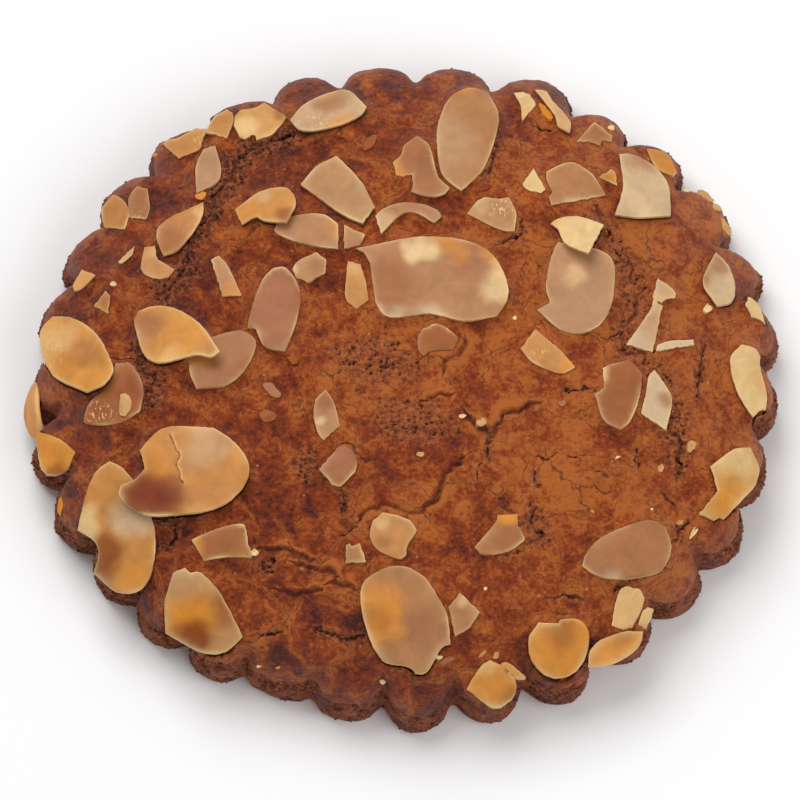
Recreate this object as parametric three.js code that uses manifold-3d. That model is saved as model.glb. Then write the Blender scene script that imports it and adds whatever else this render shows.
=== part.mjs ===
// Filled spice cookie: a domed, scalloped oval biscuit strewn with flaked almonds.
// Millimetres, +Z up. The origin is the middle of the flat underside and +X runs along the oval.

import * as THREE from 'three';
import { mergeVertices } from 'three/addons/utils/BufferGeometryUtils.js';
import Module from 'manifold-3d';

const wasm = await Module();
wasm.setup();

// Driving sizes of the crust
const LENGTH = 99.6;           // oval over the lobes, along X
const WIDTH = 91.4;            // oval over the lobes, along Y
const RIM_HEIGHT = 8;          // where the dome meets the edge, before the edge is rounded
const CROWN_HEIGHT = 18.5;     // middle of the dome
const DOME_FLATNESS = 4;       // power of the plan radius: high is flat-topped
const DOME_SHOULDER = 0.9;     // power of the fall towards the rim
const EDGE_ROUND = 2.2;        // rounding of the top edge
const WALL_LEAN = 0.6;         // how far the top edge stands in from the foot of the wall
const WALL_BULGE = 0.1;        // how far the wall's middle stands in from its foot
const WALL_BULGE_HEIGHT = 3;   // height of the wall's middle
const FOOT_HEIGHT = 1.1;       // where the wall turns under
const FOOT_TUCK = 0.8;         // how far the underside stands in from the wall
const UNDULATION = 0.35;       // deepest hollow of the uneven top
const WAVE_LONG = { length: 5.1, sway: 0.6, swayLength: 6.3 };
const WAVE_CROSS = { length: 4.7, sway: 0.8, swayLength: 7.9, start: 1 };

// Scalloped edge: each lobe's share of the turn in degrees, from +X round to +Y, and how far its
// tip reaches past the oval.
const LOBE_SPANS = [
  11, 10, 12.5, 11.5, 10.5, 15, 14, 14, 12.5, 12.5, 12, 12, 11.5, 11.5, 11.5,
  10.5, 12, 11, 11, 11, 12.5, 12.5, 12.5, 12.5, 13, 13, 11.5, 12, 12, 11,
];
const LOBE_REACH = [
  0.2, 0.6, 0.6, 0.4, -0.2, 1, -0.2, -0.4, 0, -0.4, 0.2, 0, -0.2, -0.2, -0.6,
  0.4, 0.2, -0.4, -0.4, -0.4, -1.8, -0.8, 0.4, 0.4, 1, 0, -0.4, 0, -0.4, -0.4,
];
const LOBE_DEPTH = 3;          // valley between two lobes, inwards from the oval
const LOBE_FULLNESS = 0.75;    // below 1 the lobes are fuller and the valleys sharper
const LOBE_FADE = 6;           // distance inwards over which the scallops die out
const GROOVE_DEPTH = 1.3;      // groove on top between two lobes, at the edge
const GROOVE_RUN = 1.5;        // distance inwards over which that groove dies out

// Fineness of the crust
const LOBE_STEPS = 6;
const EDGE_RINGS = [0, 0.3, 0.9, 1.7, 2.8, 4.5, 7, 10];   // distances in from the edge
const INNER_RINGS = [0.84, 0.68, 0.52, 0.36, 0.2, 0.08];  // shares of the innermost edge ring

// Almonds
const SLICE_THICKNESS = 1;
const SLICE_GAP = 0.3;         // clear space under a slice
const SLICE_BEND = 0.6;        // 0 is a flat slice, 1 follows the dome
const CHIP_PROUD = 0.8;        // how far a stuck chip stands out of the crust
const CHIP_SUNK = 1;           // and how far it reaches into it
const SHARP_TURN = 52;         // degrees: a rim that turns harder than this has a broken corner
const SIDE_STEPS = 8;          // points on each side of a rim before it is thinned
const SLICE_TOLERANCE = 0.06;  // how closely the corners follow the true outline
const CHIP_TOLERANCE = 0.12;
const REST_STEP = 0.125;       // share of a slice's reach between the places where it is tried

// Whole and broken slices that lie on the crust, the lower of two that cross first. Each has its
// middle and the points of its rim from there, anticlockwise. A whole edge curves through them.
const SLICES = [
  // Back left
  { at: [-7.9, 36.4], tone: 'pale', rim: [
    [-5.2, -1], [-4, -2.7], [-0.7, -2.9], [4.2, -1.1], [5, 0.1], [2.6, 3.2], [1.7, 3.3], [-3.5, 1.1]] },
  { at: [-7.1, 24.1], tone: 'pale', rim: [
    [-5.2, 1.2], [0.4, -3.8], [2.6, -5], [4.4, -2.8], [2.8, 1], [-0.2, 5], [-2.9, 3.7]] },
  { at: [-11.2, 18.5], tone: 'glazed', rim: [
    [-5, 0.5], [-4.5, -0.1], [0.3, -2.2], [3.3, -2.8], [3.5, 0.7], [1.9, 2.1], [-1.7, 2.4], [-4.7, 1.2]] },
  { at: [-16.8, 22.3], tone: 'golden', rim: [
    [-4.3, 0.2], [-3.6, -2.3], [-2.3, -1.6], [-1.5, -1.4], [-0.9, -2], [2.3, -2.9], [3.7, 0],
    [2.8, 2.3], [1.8, 2.7], [-0.8, 2.5]] },
  { at: [-28.7, 20.5], tone: 'golden', rim: [
    [-2.9, 0.2], [-2.9, -1.4], [-2.2, -3.5], [-0.6, -3.1], [1.4, -1.2], [3.3, 2], [3.4, 3.6], [-2.5, 1]] },
  // Left
  { at: [-16.6, 7.8], tone: 'glazed', rim: [
    [-3.9, -2.3], [-2.8, -2.6], [-1.8, -5], [0.8, -5.9], [2.5, -2.1], [3.3, 2.2], [1.9, 5.4],
    [1.1, 5.9], [-0.6, 5.3], [-3.2, 0.4]] },
  { at: [-24.2, 1.4], tone: 'glazed', rim: [
    [-4.1, 1], [-4.2, -1.6], [-3.5, -3.7], [0.3, -3.6], [2.3, -2.4], [4.6, 1.3], [4.6, 2.4],
    [3, 3.7], [0.1, 3.5], [-3.3, 2.3]] },
  { at: [-30.5, 5.2], tone: 'golden', rim: [
    [-4.8, 3.2], [-4.7, 1.8], [-3.5, -2.7], [-2.1, -3.7], [3.2, -3.5], [5, -4.1], [6.1, -3.5],
    [3.8, 0.8], [0.7, 3.7], [-1.9, 4.6], [-4.2, 4.3]] },
  { at: [-38.2, -2.2], tone: 'glazed', rim: [
    [-4.6, -2.3], [-3.8, -2.8], [0.1, -3.4], [2.9, -2.2], [3.5, 0.4], [3, 2.8], [1.8, 4.6],
    [0.1, 4.8], [-0.4, 3], [-1.5, 1.6], [-3.8, -0.1]] },
  { at: [-43.3, 5], tone: 'golden', rim: [
    [-4.5, 2.2], [-3.8, -0.8], [-2.8, -2.7], [1.2, -6], [3.6, -5.4], [4.8, -3.8], [4.6, -2.4],
    [2.7, 2.3], [-0.5, 5.5], [-2.7, 6.3], [-4.3, 5]] },
  // Back
  { at: [10.1, 31.4], tone: 'pale', rim: [
    [-4, -2.9], [-3.5, -6.2], [-1.3, -8.5], [1.5, -5.9], [3.5, -1.4], [4.4, 3], [3.2, 6.6],
    [1.1, 7.3], [-1.3, 6.4], [-3.7, 1.6]] },
  { at: [3.7, 26.2], tone: 'glazed', rim: [
    [-3.6, 1.5], [-3.3, -0.5], [-2.4, -0.8], [-1.2, -0.5], [-1.2, -2.4], [-1.5, -3], [0.9, -3.8],
    [3, -3.5], [3.6, -2.7], [2.3, -1.1], [1.2, 3.8], [-0.2, 5.2], [-1.9, 3.9], [-2.6, 2.3]] },
  { at: [1.5, 21.2], tone: 'glazed', rim: [
    [-4.2, -1.2], [-3.6, -3.7], [-0.4, -1], [1, -1], [3.5, -2.7], [4.5, -1.7], [3.9, -0.8],
    [-0.3, 0.5], [-3.4, -0.4]] },
  // Back right
  { at: [32.9, 23], tone: 'pale', rim: [
    [-3.9, -4.1], [-1.3, -4.4], [3.5, -3.8], [3.5, 0.9], [3, 2.3], [0.6, 4.8], [-1.7, 5.5],
    [-2.7, 5.3], [-2.6, 0]] },
  { at: [22.1, 35.2], tone: 'pale', rim: [
    [0, -1.2], [0.2, -2.6], [1.7, -3.7], [1.9, -1.9], [-0.5, 2.2], [-0.8, 3.2], [-1.6, 3.6], [-2.4, 3.5]] },
  { at: [23.5, 8.5], tone: 'glazed', rim: [
    [-4.3, -0.2], [-3.9, -1.9], [-5.7, -2.9], [-2.4, -6], [0.1, -6.3], [2.5, -5.2], [3.9, -3.1],
    [4.7, 0], [4.7, 3.7], [4.1, 4.6], [2.1, 5.6], [-2.3, 6.5], [-2.9, 5.6]] },
  { at: [23.9, 16.1], tone: 'pale', rim: [
    [-3.5, 1.6], [-2.7, 0.7], [-1.9, -1.7], [1.1, -3.7], [3.4, 1], [-0.1, 2.6], [-2.6, 2.3]] },
  // Middle and right
  { at: [4.8, 10.8], tone: 'pale', rim: [
    [-9.3, 4.1], [-7.6, -4.2], [-6.8, -4.9], [-1.1, -4.9], [3, -6.1], [6.2, -6], [7.3, -5.8],
    [9.3, -2.9], [8.5, 1.3], [7.1, 3.4], [4.5, 4.9], [-1.1, 5.9], [-10.3, 4.8]] },
  { at: [42.3, 9.9], tone: 'pale', rim: [
    [-2.2, -0.5], [-0.6, -3.6], [1.3, -2.8], [2, -0.7], [1.3, 2.6], [-0.2, 4.3]] },
  { at: [45.3, -3.4], tone: 'golden', rim: [
    [-2.2, -0.1], [-1.3, -2.9], [0.2, -5.2], [1.3, -4], [2, -3.9], [2.3, -2.1], [1.6, 2],
    [1.7, 3.5], [1, 4.3], [-0.6, 4.6], [-2.1, 2.9]] },
  { at: [28, -6.2], tone: 'glazed', rim: [
    [-2, 0.7], [-3.3, -0.2], [-2.2, -3.9], [-0.2, -5], [0.9, -4.1], [3, 2.1], [2.8, 3],
    [1.4, 4.6], [-2.1, 3.4]] },
  // Front left
  { at: [-39, -19.3], tone: 'golden', rim: [
    [-5.4, 1.1], [-3.3, -0.8], [-2.8, -2.4], [-3.6, -4.7], [-0.4, -7.8], [2.3, -8.1], [3.7, -6.8],
    [4.7, -1.5], [4, 1.6], [0.9, 7.6], [-0.7, 8.7], [-2.1, 8.1], [-3.4, 6.5]] },
  { at: [-29.6, -13.7], tone: 'toasted', rim: [
    [-9.1, -1.9], [-7.8, -3.8], [-5.4, -5.2], [-2.1, -5.5], [3.1, -5.2], [5.6, -4.1], [8, -1.2],
    [8, 1.1], [4.3, 5.3], [1.3, 6], [-3.1, 6], [-6, 3.5], [-5.5, 1], [-6.9, -0.3], [-8.8, -0.9]] },
  { at: [-29.2, -31.5], tone: 'golden', rim: [
    [-4.3, 2], [-4.4, -1.5], [0.7, -4.7], [3.3, -4.9], [5.6, -3.6], [3, 1.9], [1.2, 4.2],
    [0.4, 4.9], [-0.8, 4.9], [-1.4, 5.7], [-3, 5.3]] },
  // Front and front right
  { at: [-2.2, -34.8], tone: 'golden', rim: [
    [-5.6, 3.2], [-5.2, -0.6], [-3.9, -4.1], [-3, -5.1], [0.6, -6.2], [1, -6.8], [2.2, -6.8],
    [5.1, -3.6], [5.8, -3.5], [5.6, -0.1], [4.8, 1.8], [2.5, 5.2], [-0.5, 6.5], [-3.9, 5.6], [-5.2, 4.5]] },
  { at: [28.1, -27.2], tone: 'glazed', rim: [
    [-6.1, -0.7], [-6.5, -1.9], [-5.2, -2.8], [-2.9, -3.4], [2.6, -2.7], [3.9, -2.1], [5.4, 0.7],
    [4.8, 3.3], [3.1, 4], [-0.6, 3.1], [-4.3, 1.3]] },
  { at: [17.9, -38.8], tone: 'toasted', rim: [
    [-3.9, 0.8], [-3.6, -1.7], [-1.3, -3.4], [1.3, -3.1], [3.1, -1.6], [4, 0.7], [3.9, 2.1],
    [2.8, 3.1], [0.4, 3.1], [0.1, 2.6], [-2.5, 2.7]] },
  { at: [25.1, -38.8], tone: 'golden', rim: [
    [-3, -0.3], [-3.4, -2.1], [-0.5, -1.8], [3.5, 0.6], [4.1, 2.2], [1.2, 1.9]] },
  { at: [42.1, -17.2], tone: 'golden', rim: [
    [-2.7, 1.4], [-1.9, -1.6], [-4.5, -4.7], [-2.7, -5.3], [-2, -4.8], [-1.4, -5], [0.4, -3.1],
    [3.2, 0.1], [3.8, 2.2], [2.8, 4.5], [0.9, 4.1]] },
];

// Smaller broken chips, stuck fast in the glaze. Proud is given where the glaze nearly covers one,
// and sunk where the edge falls away under it.
const CHIPS = [
  // Back left
  { at: [-17.2, 36], rim: [
    [-3.3, -0.2], [-2.5, -2.5], [-2, -2.8], [-1.4, -2.1], [-0.7, -2.1], [-0.5, -3], [1.6, -2.4],
    [3.7, 0.2], [0.9, 3.1], [-0.2, 2.5], [-2.3, 2.4], [-3.2, 1.3]] },
  { at: [-22.2, 36.5], sunk: 1.8, rim: [[-2.2, -1], [0.6, -2.6], [1.7, 1.2], [0.9, 2.4], [-0.7, 1.7]] },
  { at: [-26.9, 34.3], sunk: 1.8, rim: [
    [-3.2, 0.6], [-1.3, -2.4], [1.6, -1.7], [2.7, 1.8], [1.4, 2.2], [0.1, 1.7], [-0.9, 1.2], [-2.6, 1.3]] },
  { at: [-24.4, 29.3], rim: [[-1.5, 0.9], [-1.7, -3.5], [0.6, -2.6], [1.6, -1.5], [1.2, 3.6], [-0.4, 3.3]] },
  { at: [-37, 25], sunk: 1.8, rim: [[-1.7, 1.2], [-1.3, -2], [1.2, -2.9], [1.9, -0.6], [1, 2.2], [-0.1, 3]] },
  { at: [-33.8, 25.8], proud: 0.3, rim: [
    [-1.2, 1.4], [-1.4, -1.8], [0.9, -2.6], [1.4, -1.3], [1.3, 2.2], [-0.1, 2.9]] },
  { at: [-6, 17.5], rim: [[-1.1, -1.6], [1, -1.4], [1.8, 0.1], [-0.9, 1.7]] },
  { at: [-32, 16.2], rim: [
    [-2, -0.5], [-1.4, -1.5], [0.8, -2.4], [1.9, -2], [2.3, -1.2], [1.3, -0.2], [0.2, 0.4], [0, 2.6],
    [-1.4, 2.6]] },
  { at: [-35.7, 18.1], rim: [[-1.3, -0.8], [-0.9, -1.1], [0.6, -0.2], [1.1, 1.2]] },
  { at: [-41.8, 15.8], sunk: 1.8, rim: [[-1.3, -0.6], [-1.2, -1.4], [-0.5, -1.4], [1.7, 0.2], [0, 1.6]] },
  { at: [-39.2, 11.7], rim: [[-1.2, -0.1], [0.5, -1.7], [0.8, 1.2], [0.3, 1.7]] },
  { at: [-23, 12.9], rim: [[-1.7, 2.8], [-0.5, -2.5], [2, -2.6], [0.6, 1.4], [-0.7, 3.3]] },
  { at: [-11.7, 13.7], rim: [
    [-2.4, -0.2], [-2, -1.4], [-0.5, -2.3], [1.9, -1.1], [2.2, 0.7], [0.9, 1.9], [-1.3, 1]] },
  { at: [-5.7, 10.5], rim: [[-1.4, -2.1], [-0.3, -3.2], [1.4, -2], [1.3, 0], [0.6, 2.9], [-1, 3.6]] },
  // Back right
  { at: [13.2, 19.8], rim: [
    [-3.8, 0], [0.3, -2.4], [2.3, -2.8], [2.7, -0.2], [1.9, 2.1], [1, 1.9], [-1, 2.3], [-2.1, 1.9]] },
  { at: [18.5, 23.9], rim: [[-1.5, -0.1], [-0.9, -1], [0.9, -1.4], [1.5, -0.9], [0.1, 2.2]] },
  { at: [23.7, 23.8], proud: 0.5, rim: [
    [-3.4, 0.5], [-2.7, -1], [-3.3, -1.7], [-3.1, -3.1], [4.3, -1.6], [2.8, 1.4], [1.1, 2.9], [0, 3.4],
    [-3.4, 1.9]] },
  { at: [28.7, 24.8], rim: [[-1.5, 0], [0.9, -1.2], [0.8, 0.7], [0.3, 1.3]] },
  { at: [35.9, 28.1], rim: [
    [-2, 1.8], [-0.9, -1.2], [1.2, -2.4], [1.8, -1.6], [1.7, -0.6], [0.8, 1.4], [-0.1, 1.9]] },
  { at: [18.2, 36.5], rim: [[-1.4, 1.8], [-0.7, 0.1], [-0.6, -2.9], [1.4, -0.2], [0.6, 1.7], [-0.3, 2]] },
  { at: [27.4, 31.9], proud: 0.3, rim: [
    [-2.9, -1.5], [-1.3, -1.2], [0.4, -1.9], [0.7, -0.9], [1.9, -1.2], [2.1, -0.2], [-0.1, 2.2]] },
  // Right
  { at: [18.6, -0.4], rim: [
    [-3.3, 0.9], [-2.2, -0.7], [-0.5, -1.9], [2.4, -2.8], [3.7, -2], [2.8, -0.6], [-1.2, 3.5]] },
  { at: [34.7, 8], rim: [
    [-1.4, -0.6], [-1.3, -1.3], [-0.5, -1.6], [0.1, -1], [1.4, -0.8], [1.7, -0.2], [1.3, 0.5], [-0.6, 1.9]] },
  { at: [32.1, 2.6], rim: [[0.6, 2.7], [-2.8, -2], [0.6, -3.1], [2.3, 3.4], [1.2, 4.4]] },
  { at: [35.8, 0.7], rim: [[-2.5, -0.2], [-2.6, -1], [2.5, 0], [2.5, 0.7], [0.1, 0.6]] },
  { at: [46.8, 6.7], sunk: 1.8, rim: [
    [-1.2, 0.5], [-0.7, -1.1], [0.1, -1.1], [1.3, -1.9], [0.8, 0.3], [-0.2, 1.6], [-0.8, 1.7]] },
  { at: [32.4, -7.2], rim: [[-0.9, 1.2], [-1.8, -1.7], [1.4, -3.9], [2.4, 0.4], [0.4, 4.3], [-0.3, 3.6]] },
  // Left and middle
  { at: [4.4, 2.6], proud: 0.25, rim: [
    [-2.5, 0.5], [-2.5, -1.6], [-1.9, -2.2], [-1.3, -1.6], [2.2, -1.6], [2.9, 0.1], [0.4, 2.3],
    [-0.4, 2.2], [-2, 1.4]] },
  { at: [-47.1, -7.4], sunk: 2, rim: [
    [-2.1, 2.8], [-2, 1.5], [-1.5, -1.7], [0, -2.7], [2, -2.4], [3, -0.8], [1.3, 1.3], [-1.6, 3.4]] },
  { at: [-9.5, -14.2], rim: [
    [-2.7, -0.3], [-0.8, -2.7], [0, -2.8], [2.2, -0.5], [2.1, 1.3], [1, 2.7], [0.3, 2.8], [-0.5, 2.1]] },
  { at: [-10.9, -7], proud: 0.5, rim: [
    [-1.3, 2], [-1.2, -2.3], [-0.5, -3.4], [1.8, -1.6], [1.3, 1.3], [0.2, 3.5]] },
  // Front
  { at: [-25.3, -23.2], rim: [
    [-4.2, 1], [-2.8, -1.9], [-1.3, -1.7], [3.5, -2.2], [3, 1.9], [2.5, 2.2], [-2.1, 1.7]] },
  { at: [-8.3, -26.1], rim: [[-1.2, -1.1], [1.5, -1.2], [0.8, 1.3], [-0.3, 0.9], [-0.5, 1.4], [-1, 1.2]] },
  { at: [-3.2, -24], rim: [
    [-2.8, -0.5], [-1.8, -2], [0.9, -3.3], [1.7, -2.7], [1.8, -1.8], [3.3, 0.4], [2.5, 1.8], [-1.1, 3.1],
    [-2.4, 2.1]] },
  { at: [11.1, -24.8], rim: [
    [-3.5, -1.4], [-2.9, -2.2], [-0.2, -2.3], [2.5, -1.2], [3.2, -0.4], [2.4, 1], [2.5, 2.7], [-0.2, 2.8],
    [-0.4, 2.1]] },
  { at: [27.3, -33.9], rim: [
    [-0.9, 2], [-2.3, -2.1], [-1.6, -2.4], [0.3, -2.2], [1, -1.5], [2.4, 1.2], [1.8, 2.3], [-0.2, 2.5]] },
  { at: [29.5, -34.8], sunk: 3, rim: [[-0.9, -0.9], [0.2, -1], [1.3, 1], [0.8, 1.2], [0, 0.9]] },
  { at: [5.3, -34.6], proud: 0.5, rim: [[-1.6, 1], [-1, -2.6], [0.7, -1.8], [2.4, 0.2], [0, 2.7]] },
  { at: [9, -42.9], sunk: 1.8, rim: [
    [-3.5, -0.4], [0.4, -2.4], [2, -1.7], [3, -0.5], [3, 0.3], [0.1, 2.6], [-0.5, 2.6], [-1.7, 1.8]] },
  { at: [11.6, -41.4], sunk: 1.8, rim: [[-1.5, 0.7], [0.4, -0.8], [1.7, -0.7], [0.3, 0.4], [-1.1, 0.9]] },
];

// One slice stands on its edge against the left rim, between these heights.
const STANDING_CHIP = {
  at: [-49.6, 0.3],
  rim: [[0, 4], [-0.8, 2.6], [-1.2, 0], [-0.9, -2.2], [0.1, -4], [1, -2.4], [1.2, 0.4], [0.8, 2.6]],
};
const STANDING_HEIGHTS = [3.2, 7.6];

// Cracks and folds of the baked skin, as runs of plan points with a width and a depth.
const CRACKS = [
  { run: [[-13.5, 33.5], [-17, 32.5], [-20.5, 30.5], [-21.5, 28], [-23.5, 26]], width: 1.6, depth: 1.2 },
  { run: [[-24, 24], [-24.6, 21], [-27.2, 17], [-28.3, 14], [-28.6, 11.5]], width: 1.8, depth: 1 },
  { run: [[-35.5, 9], [-35, 4], [-34, 0], [-33.5, -4]], width: 1.4, depth: 1 },
  { run: [[14.4, 31], [13, 26], [11.2, 23]], width: 1, depth: 0.8 },
  { run: [[39.5, 2.2], [39.1, -1.7], [38.5, -4.3]], width: 1.2, depth: 0.9 },
  { run: [[35.8, -11.2], [35, -14], [35.1, -17]], width: 1.5, depth: 1 },
  { run: [[24, -4.6], [21.8, -5.5], [18, -6.6]], width: 1, depth: 0.7 },
  { run: [[7.8, -13.2], [4.9, -15.3], [3.8, -17.5], [2.3, -20.2], [0.6, -21.5]], width: 1, depth: 0.6 },
  { run: [[7.5, -9.2], [10.4, -11.2], [12.6, -8.6], [15.2, -7.5]], width: 1, depth: 0.6 },
  { run: [[-20, -25.6], [-15.5, -27.4], [-11.5, -29.6], [-8.6, -30.6]], width: 1.6, depth: 1 },
  { run: [[-14, -35.6], [-10.5, -36.2], [-8.4, -36.4]], width: 1, depth: 0.8 },
  { run: [[-4.4, -41], [0, -42], [2.4, -42.2], [4.2, -43.4]], width: 1.2, depth: 1 },
];
const CRACK_RISE = 1;          // a cutter's brim is this far above the dome
const CRACK_END = 0.6;         // and its ends reach this far below the brim, so the crack runs out

const CRUST_COLOUR = 0x7a3f22;
const CRUST_ROUGHNESS = 0.55;
const ALMOND_ROUGHNESS = 0.45;
const ALMOND_COLOURS = { pale: 0xcfa578, golden: 0xdba157, glazed: 0xa9704b, toasted: 0xb5713a };

const toRadians = THREE.MathUtils.degToRad;

function ovalRadius(angle) {
  return 1 / Math.hypot(Math.cos(angle) / (LENGTH / 2), Math.sin(angle) / (WIDTH / 2));
}

// Height of the smooth dome. Nothing of the bare crust stands above it.
function domeHeight(x, y) {
  const radius = Math.min(Math.hypot(x / (LENGTH / 2), y / (WIDTH / 2)), 1);
  const share = (1 - radius ** DOME_FLATNESS) ** DOME_SHOULDER;
  return RIM_HEIGHT + (CROWN_HEIGHT - RIM_HEIGHT) * share;
}

// Shallow hollows of the uneven top, never negative.
function hollow(x, y) {
  const wave = (along, across, { length, sway, swayLength, start = 0 }) =>
    Math.sin(along / length + sway * Math.sin(across / swayLength + start));
  return (UNDULATION / 4) * (2 + wave(x, y, WAVE_LONG) + wave(y, x, WAVE_CROSS));
}

// Spokes from the middle to the edge, several to a lobe, each with the lobe's fullness there.
function lobeSpokes() {
  const turn = LOBE_SPANS.reduce((sum, span) => sum + span, 0);
  const spokes = [];
  let start = 0;
  LOBE_SPANS.forEach((span, lobe) => {
    for (let step = 0; step < LOBE_STEPS; step += 1) {
      const share = step / LOBE_STEPS;
      const angle = (2 * Math.PI * (start + span * share)) / turn;
      const swell = Math.sin(Math.PI * share);
      const inset = LOBE_DEPTH * (1 - swell ** LOBE_FULLNESS) - LOBE_REACH[lobe] * swell;
      spokes.push({ angle, swell, inset });
    }
    start += span;
  });
  return spokes;
}

// Point of the top face on a spoke, a distance in from the edge.
function topPoint(spoke, inwards) {
  const oval = ovalRadius(spoke.angle) - WALL_LEAN;
  const fade = 1 - THREE.MathUtils.smoothstep(inwards, 0, LOBE_FADE);
  const radius = oval - inwards - fade * spoke.inset;
  const x = radius * Math.cos(spoke.angle);
  const y = radius * Math.sin(spoke.angle);
  const groove = GROOVE_DEPTH * (1 - spoke.swell) * Math.exp(-inwards / GROOVE_RUN);
  const round = Math.max(EDGE_ROUND - inwards, 0);
  const drop = EDGE_ROUND - Math.sqrt(EDGE_ROUND ** 2 - round ** 2);
  return [x, y, domeHeight(x, y) - groove - drop - hollow(x, y)];
}

// Points of the side wall from just under the top edge down to the underside.
function wallPoints(spoke) {
  const foot = ovalRadius(spoke.angle) - spoke.inset;
  const profile = [
    [foot - WALL_BULGE, WALL_BULGE_HEIGHT],
    [foot, FOOT_HEIGHT],
    [foot - FOOT_TUCK, 0],
  ];
  return profile.map(([radius, height]) => [
    radius * Math.cos(spoke.angle),
    radius * Math.sin(spoke.angle),
    height,
  ]);
}

// Indexed mesh that grows by rings of points, each stitched to the one before.
class RingMesh {
  constructor() {
    this.positions = [];
    this.triangles = [];
  }

  addRing(points) {
    const first = this.positions.length / 3;
    points.forEach((point) => this.positions.push(...point));
    return points.map((_, i) => first + i);
  }

  // Band between two rings, the second inside the first. It may have half as many points.
  stitch(outer, inner) {
    const ratio = outer.length / inner.length;
    inner.forEach((a, i) => {
      const b = inner[(i + 1) % inner.length];
      for (let k = 0; k < ratio; k += 1) {
        const c = outer[(i * ratio + k) % outer.length];
        const d = outer[(i * ratio + k + 1) % outer.length];
        this.triangles.push(a, c, d);
      }
      this.triangles.push(a, outer[((i + 1) * ratio) % outer.length], b);
    });
  }

  // Fan from a ring to one point; reversed on an underside.
  close(ring, point, reversed = false) {
    const [tip] = this.addRing([point]);
    ring.forEach((a, i) => {
      const b = ring[(i + 1) % ring.length];
      this.triangles.push(tip, ...(reversed ? [b, a] : [a, b]));
    });
  }

  geometry() {
    const geometry = new THREE.BufferGeometry();
    geometry.setAttribute('position', new THREE.Float32BufferAttribute(this.positions, 3));
    geometry.setIndex(this.triangles);
    return geometry;
  }
}

function bareCrust() {
  const mesh = new RingMesh();
  const spokes = lobeSpokes();
  const coarse = spokes.filter((_, i) => i % 2 === 0);
  const walls = spokes.map(wallPoints);
  const wallRings = [2, 1, 0].map((level) => mesh.addRing(walls.map((wall) => wall[level])));
  const edgeRings = EDGE_RINGS.map((inwards) =>
    mesh.addRing(spokes.map((spoke) => topPoint(spoke, inwards))));
  const innermost = EDGE_RINGS.at(-1);
  const innerRings = INNER_RINGS.map((share) =>
    mesh.addRing(coarse.map((spoke) => {
      const oval = ovalRadius(spoke.angle) - WALL_LEAN;
      return topPoint(spoke, oval - share * (oval - innermost));
    })));
  const rings = [...wallRings, ...edgeRings, ...innerRings];
  for (let i = 1; i < rings.length; i += 1) {
    mesh.stitch(rings[i - 1], rings[i]);
  }
  mesh.close(innerRings.at(-1), [0, 0, CROWN_HEIGHT - hollow(0, 0)]);
  mesh.close(wallRings[0], [0, 0, 0], true);
  return mesh.geometry();
}

// Plan outline of an almond piece: its rim points joined by curves, with corners where it turns hard.
function fineOutline({ at, rim }) {
  const points = rim.map(([x, y]) => new THREE.Vector2(at[0] + x, at[1] + y));
  const sides = points.map((point, i) => points[(i + 1) % points.length].clone().sub(point));
  const headings = sides.map((side, i) => {
    const leaving = side.clone().normalize();
    const arriving = sides.at(i - 1).clone().normalize();
    const turn = Math.acos(THREE.MathUtils.clamp(leaving.dot(arriving), -1, 1));
    return turn > toRadians(SHARP_TURN) ? null : leaving.add(arriving).normalize();
  });
  return sides.flatMap((side, i) => {
    const next = (i + 1) % points.length;
    const straight = side.clone().normalize();
    const leave = (headings[i] ?? straight).clone().multiplyScalar(side.length() / 3);
    const arrive = (headings[next] ?? straight).clone().multiplyScalar(side.length() / 3);
    const curve = new THREE.CubicBezierCurve(
      points[i], points[i].clone().add(leave), points[next].clone().sub(arrive), points[next]);
    return curve.getPoints(SIDE_STEPS).slice(0, -1);
  });
}

// The piece with its outline, thinned to the corners that it needs, and its reach from the middle.
function shaped(piece, tolerance) {
  const fine = fineOutline(piece);
  const strays = (from, to) => {
    const chord = fine[to % fine.length].clone().sub(fine[from]);
    return fine.slice(from + 1, to).some((point) =>
      Math.abs(chord.cross(point.clone().sub(fine[from]))) > tolerance * chord.length());
  };
  const kept = [0];
  for (let i = 1; i <= fine.length; i += 1) {
    if (strays(kept.at(-1), i)) {
      kept.push(i - 1);
    }
  }
  const middle = new THREE.Vector2(...piece.at);
  const outline = kept.map((i) => fine[i]);
  return { ...piece, outline, reach: Math.max(...outline.map((point) => point.distanceTo(middle))) };
}

// Whether a piece lies over a place of the plan, or within a gap of it.
function covers({ at, outline, reach }, x, y) {
  const away = new THREE.Vector2(x - at[0], y - at[1]);
  if (away.length() > reach + SLICE_GAP) {
    return false;
  }
  const corners = outline.map((point) => point.clone().sub(new THREE.Vector2(...at)));
  return corners.every((corner, i) => {
    const next = corners[(i + 1) % corners.length];
    if (corner.cross(away) < 0 || away.cross(next) <= 0) {
      return true;
    }
    const side = next.clone().sub(corner);
    const short = away.length() < Math.max(corner.length(), next.length()) + SLICE_GAP;
    return short && side.cross(away.clone().sub(corner)) > -SLICE_GAP * side.length();
  });
}

// Surface that a piece lies along: the dome, flattened towards its slope under the piece's middle.
function layer(piece, bend) {
  const [x0, y0] = piece.at;
  const step = piece.reach / 2;
  const middle = domeHeight(x0, y0);
  const slopeX = (domeHeight(x0 + step, y0) - domeHeight(x0 - step, y0)) / (2 * step);
  const slopeY = (domeHeight(x0, y0 + step) - domeHeight(x0, y0 - step)) / (2 * step);
  return (x, y) => {
    const flat = middle + slopeX * (x - x0) + slopeY * (y - y0);
    return flat + bend * (domeHeight(x, y) - flat);
  };
}

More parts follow.
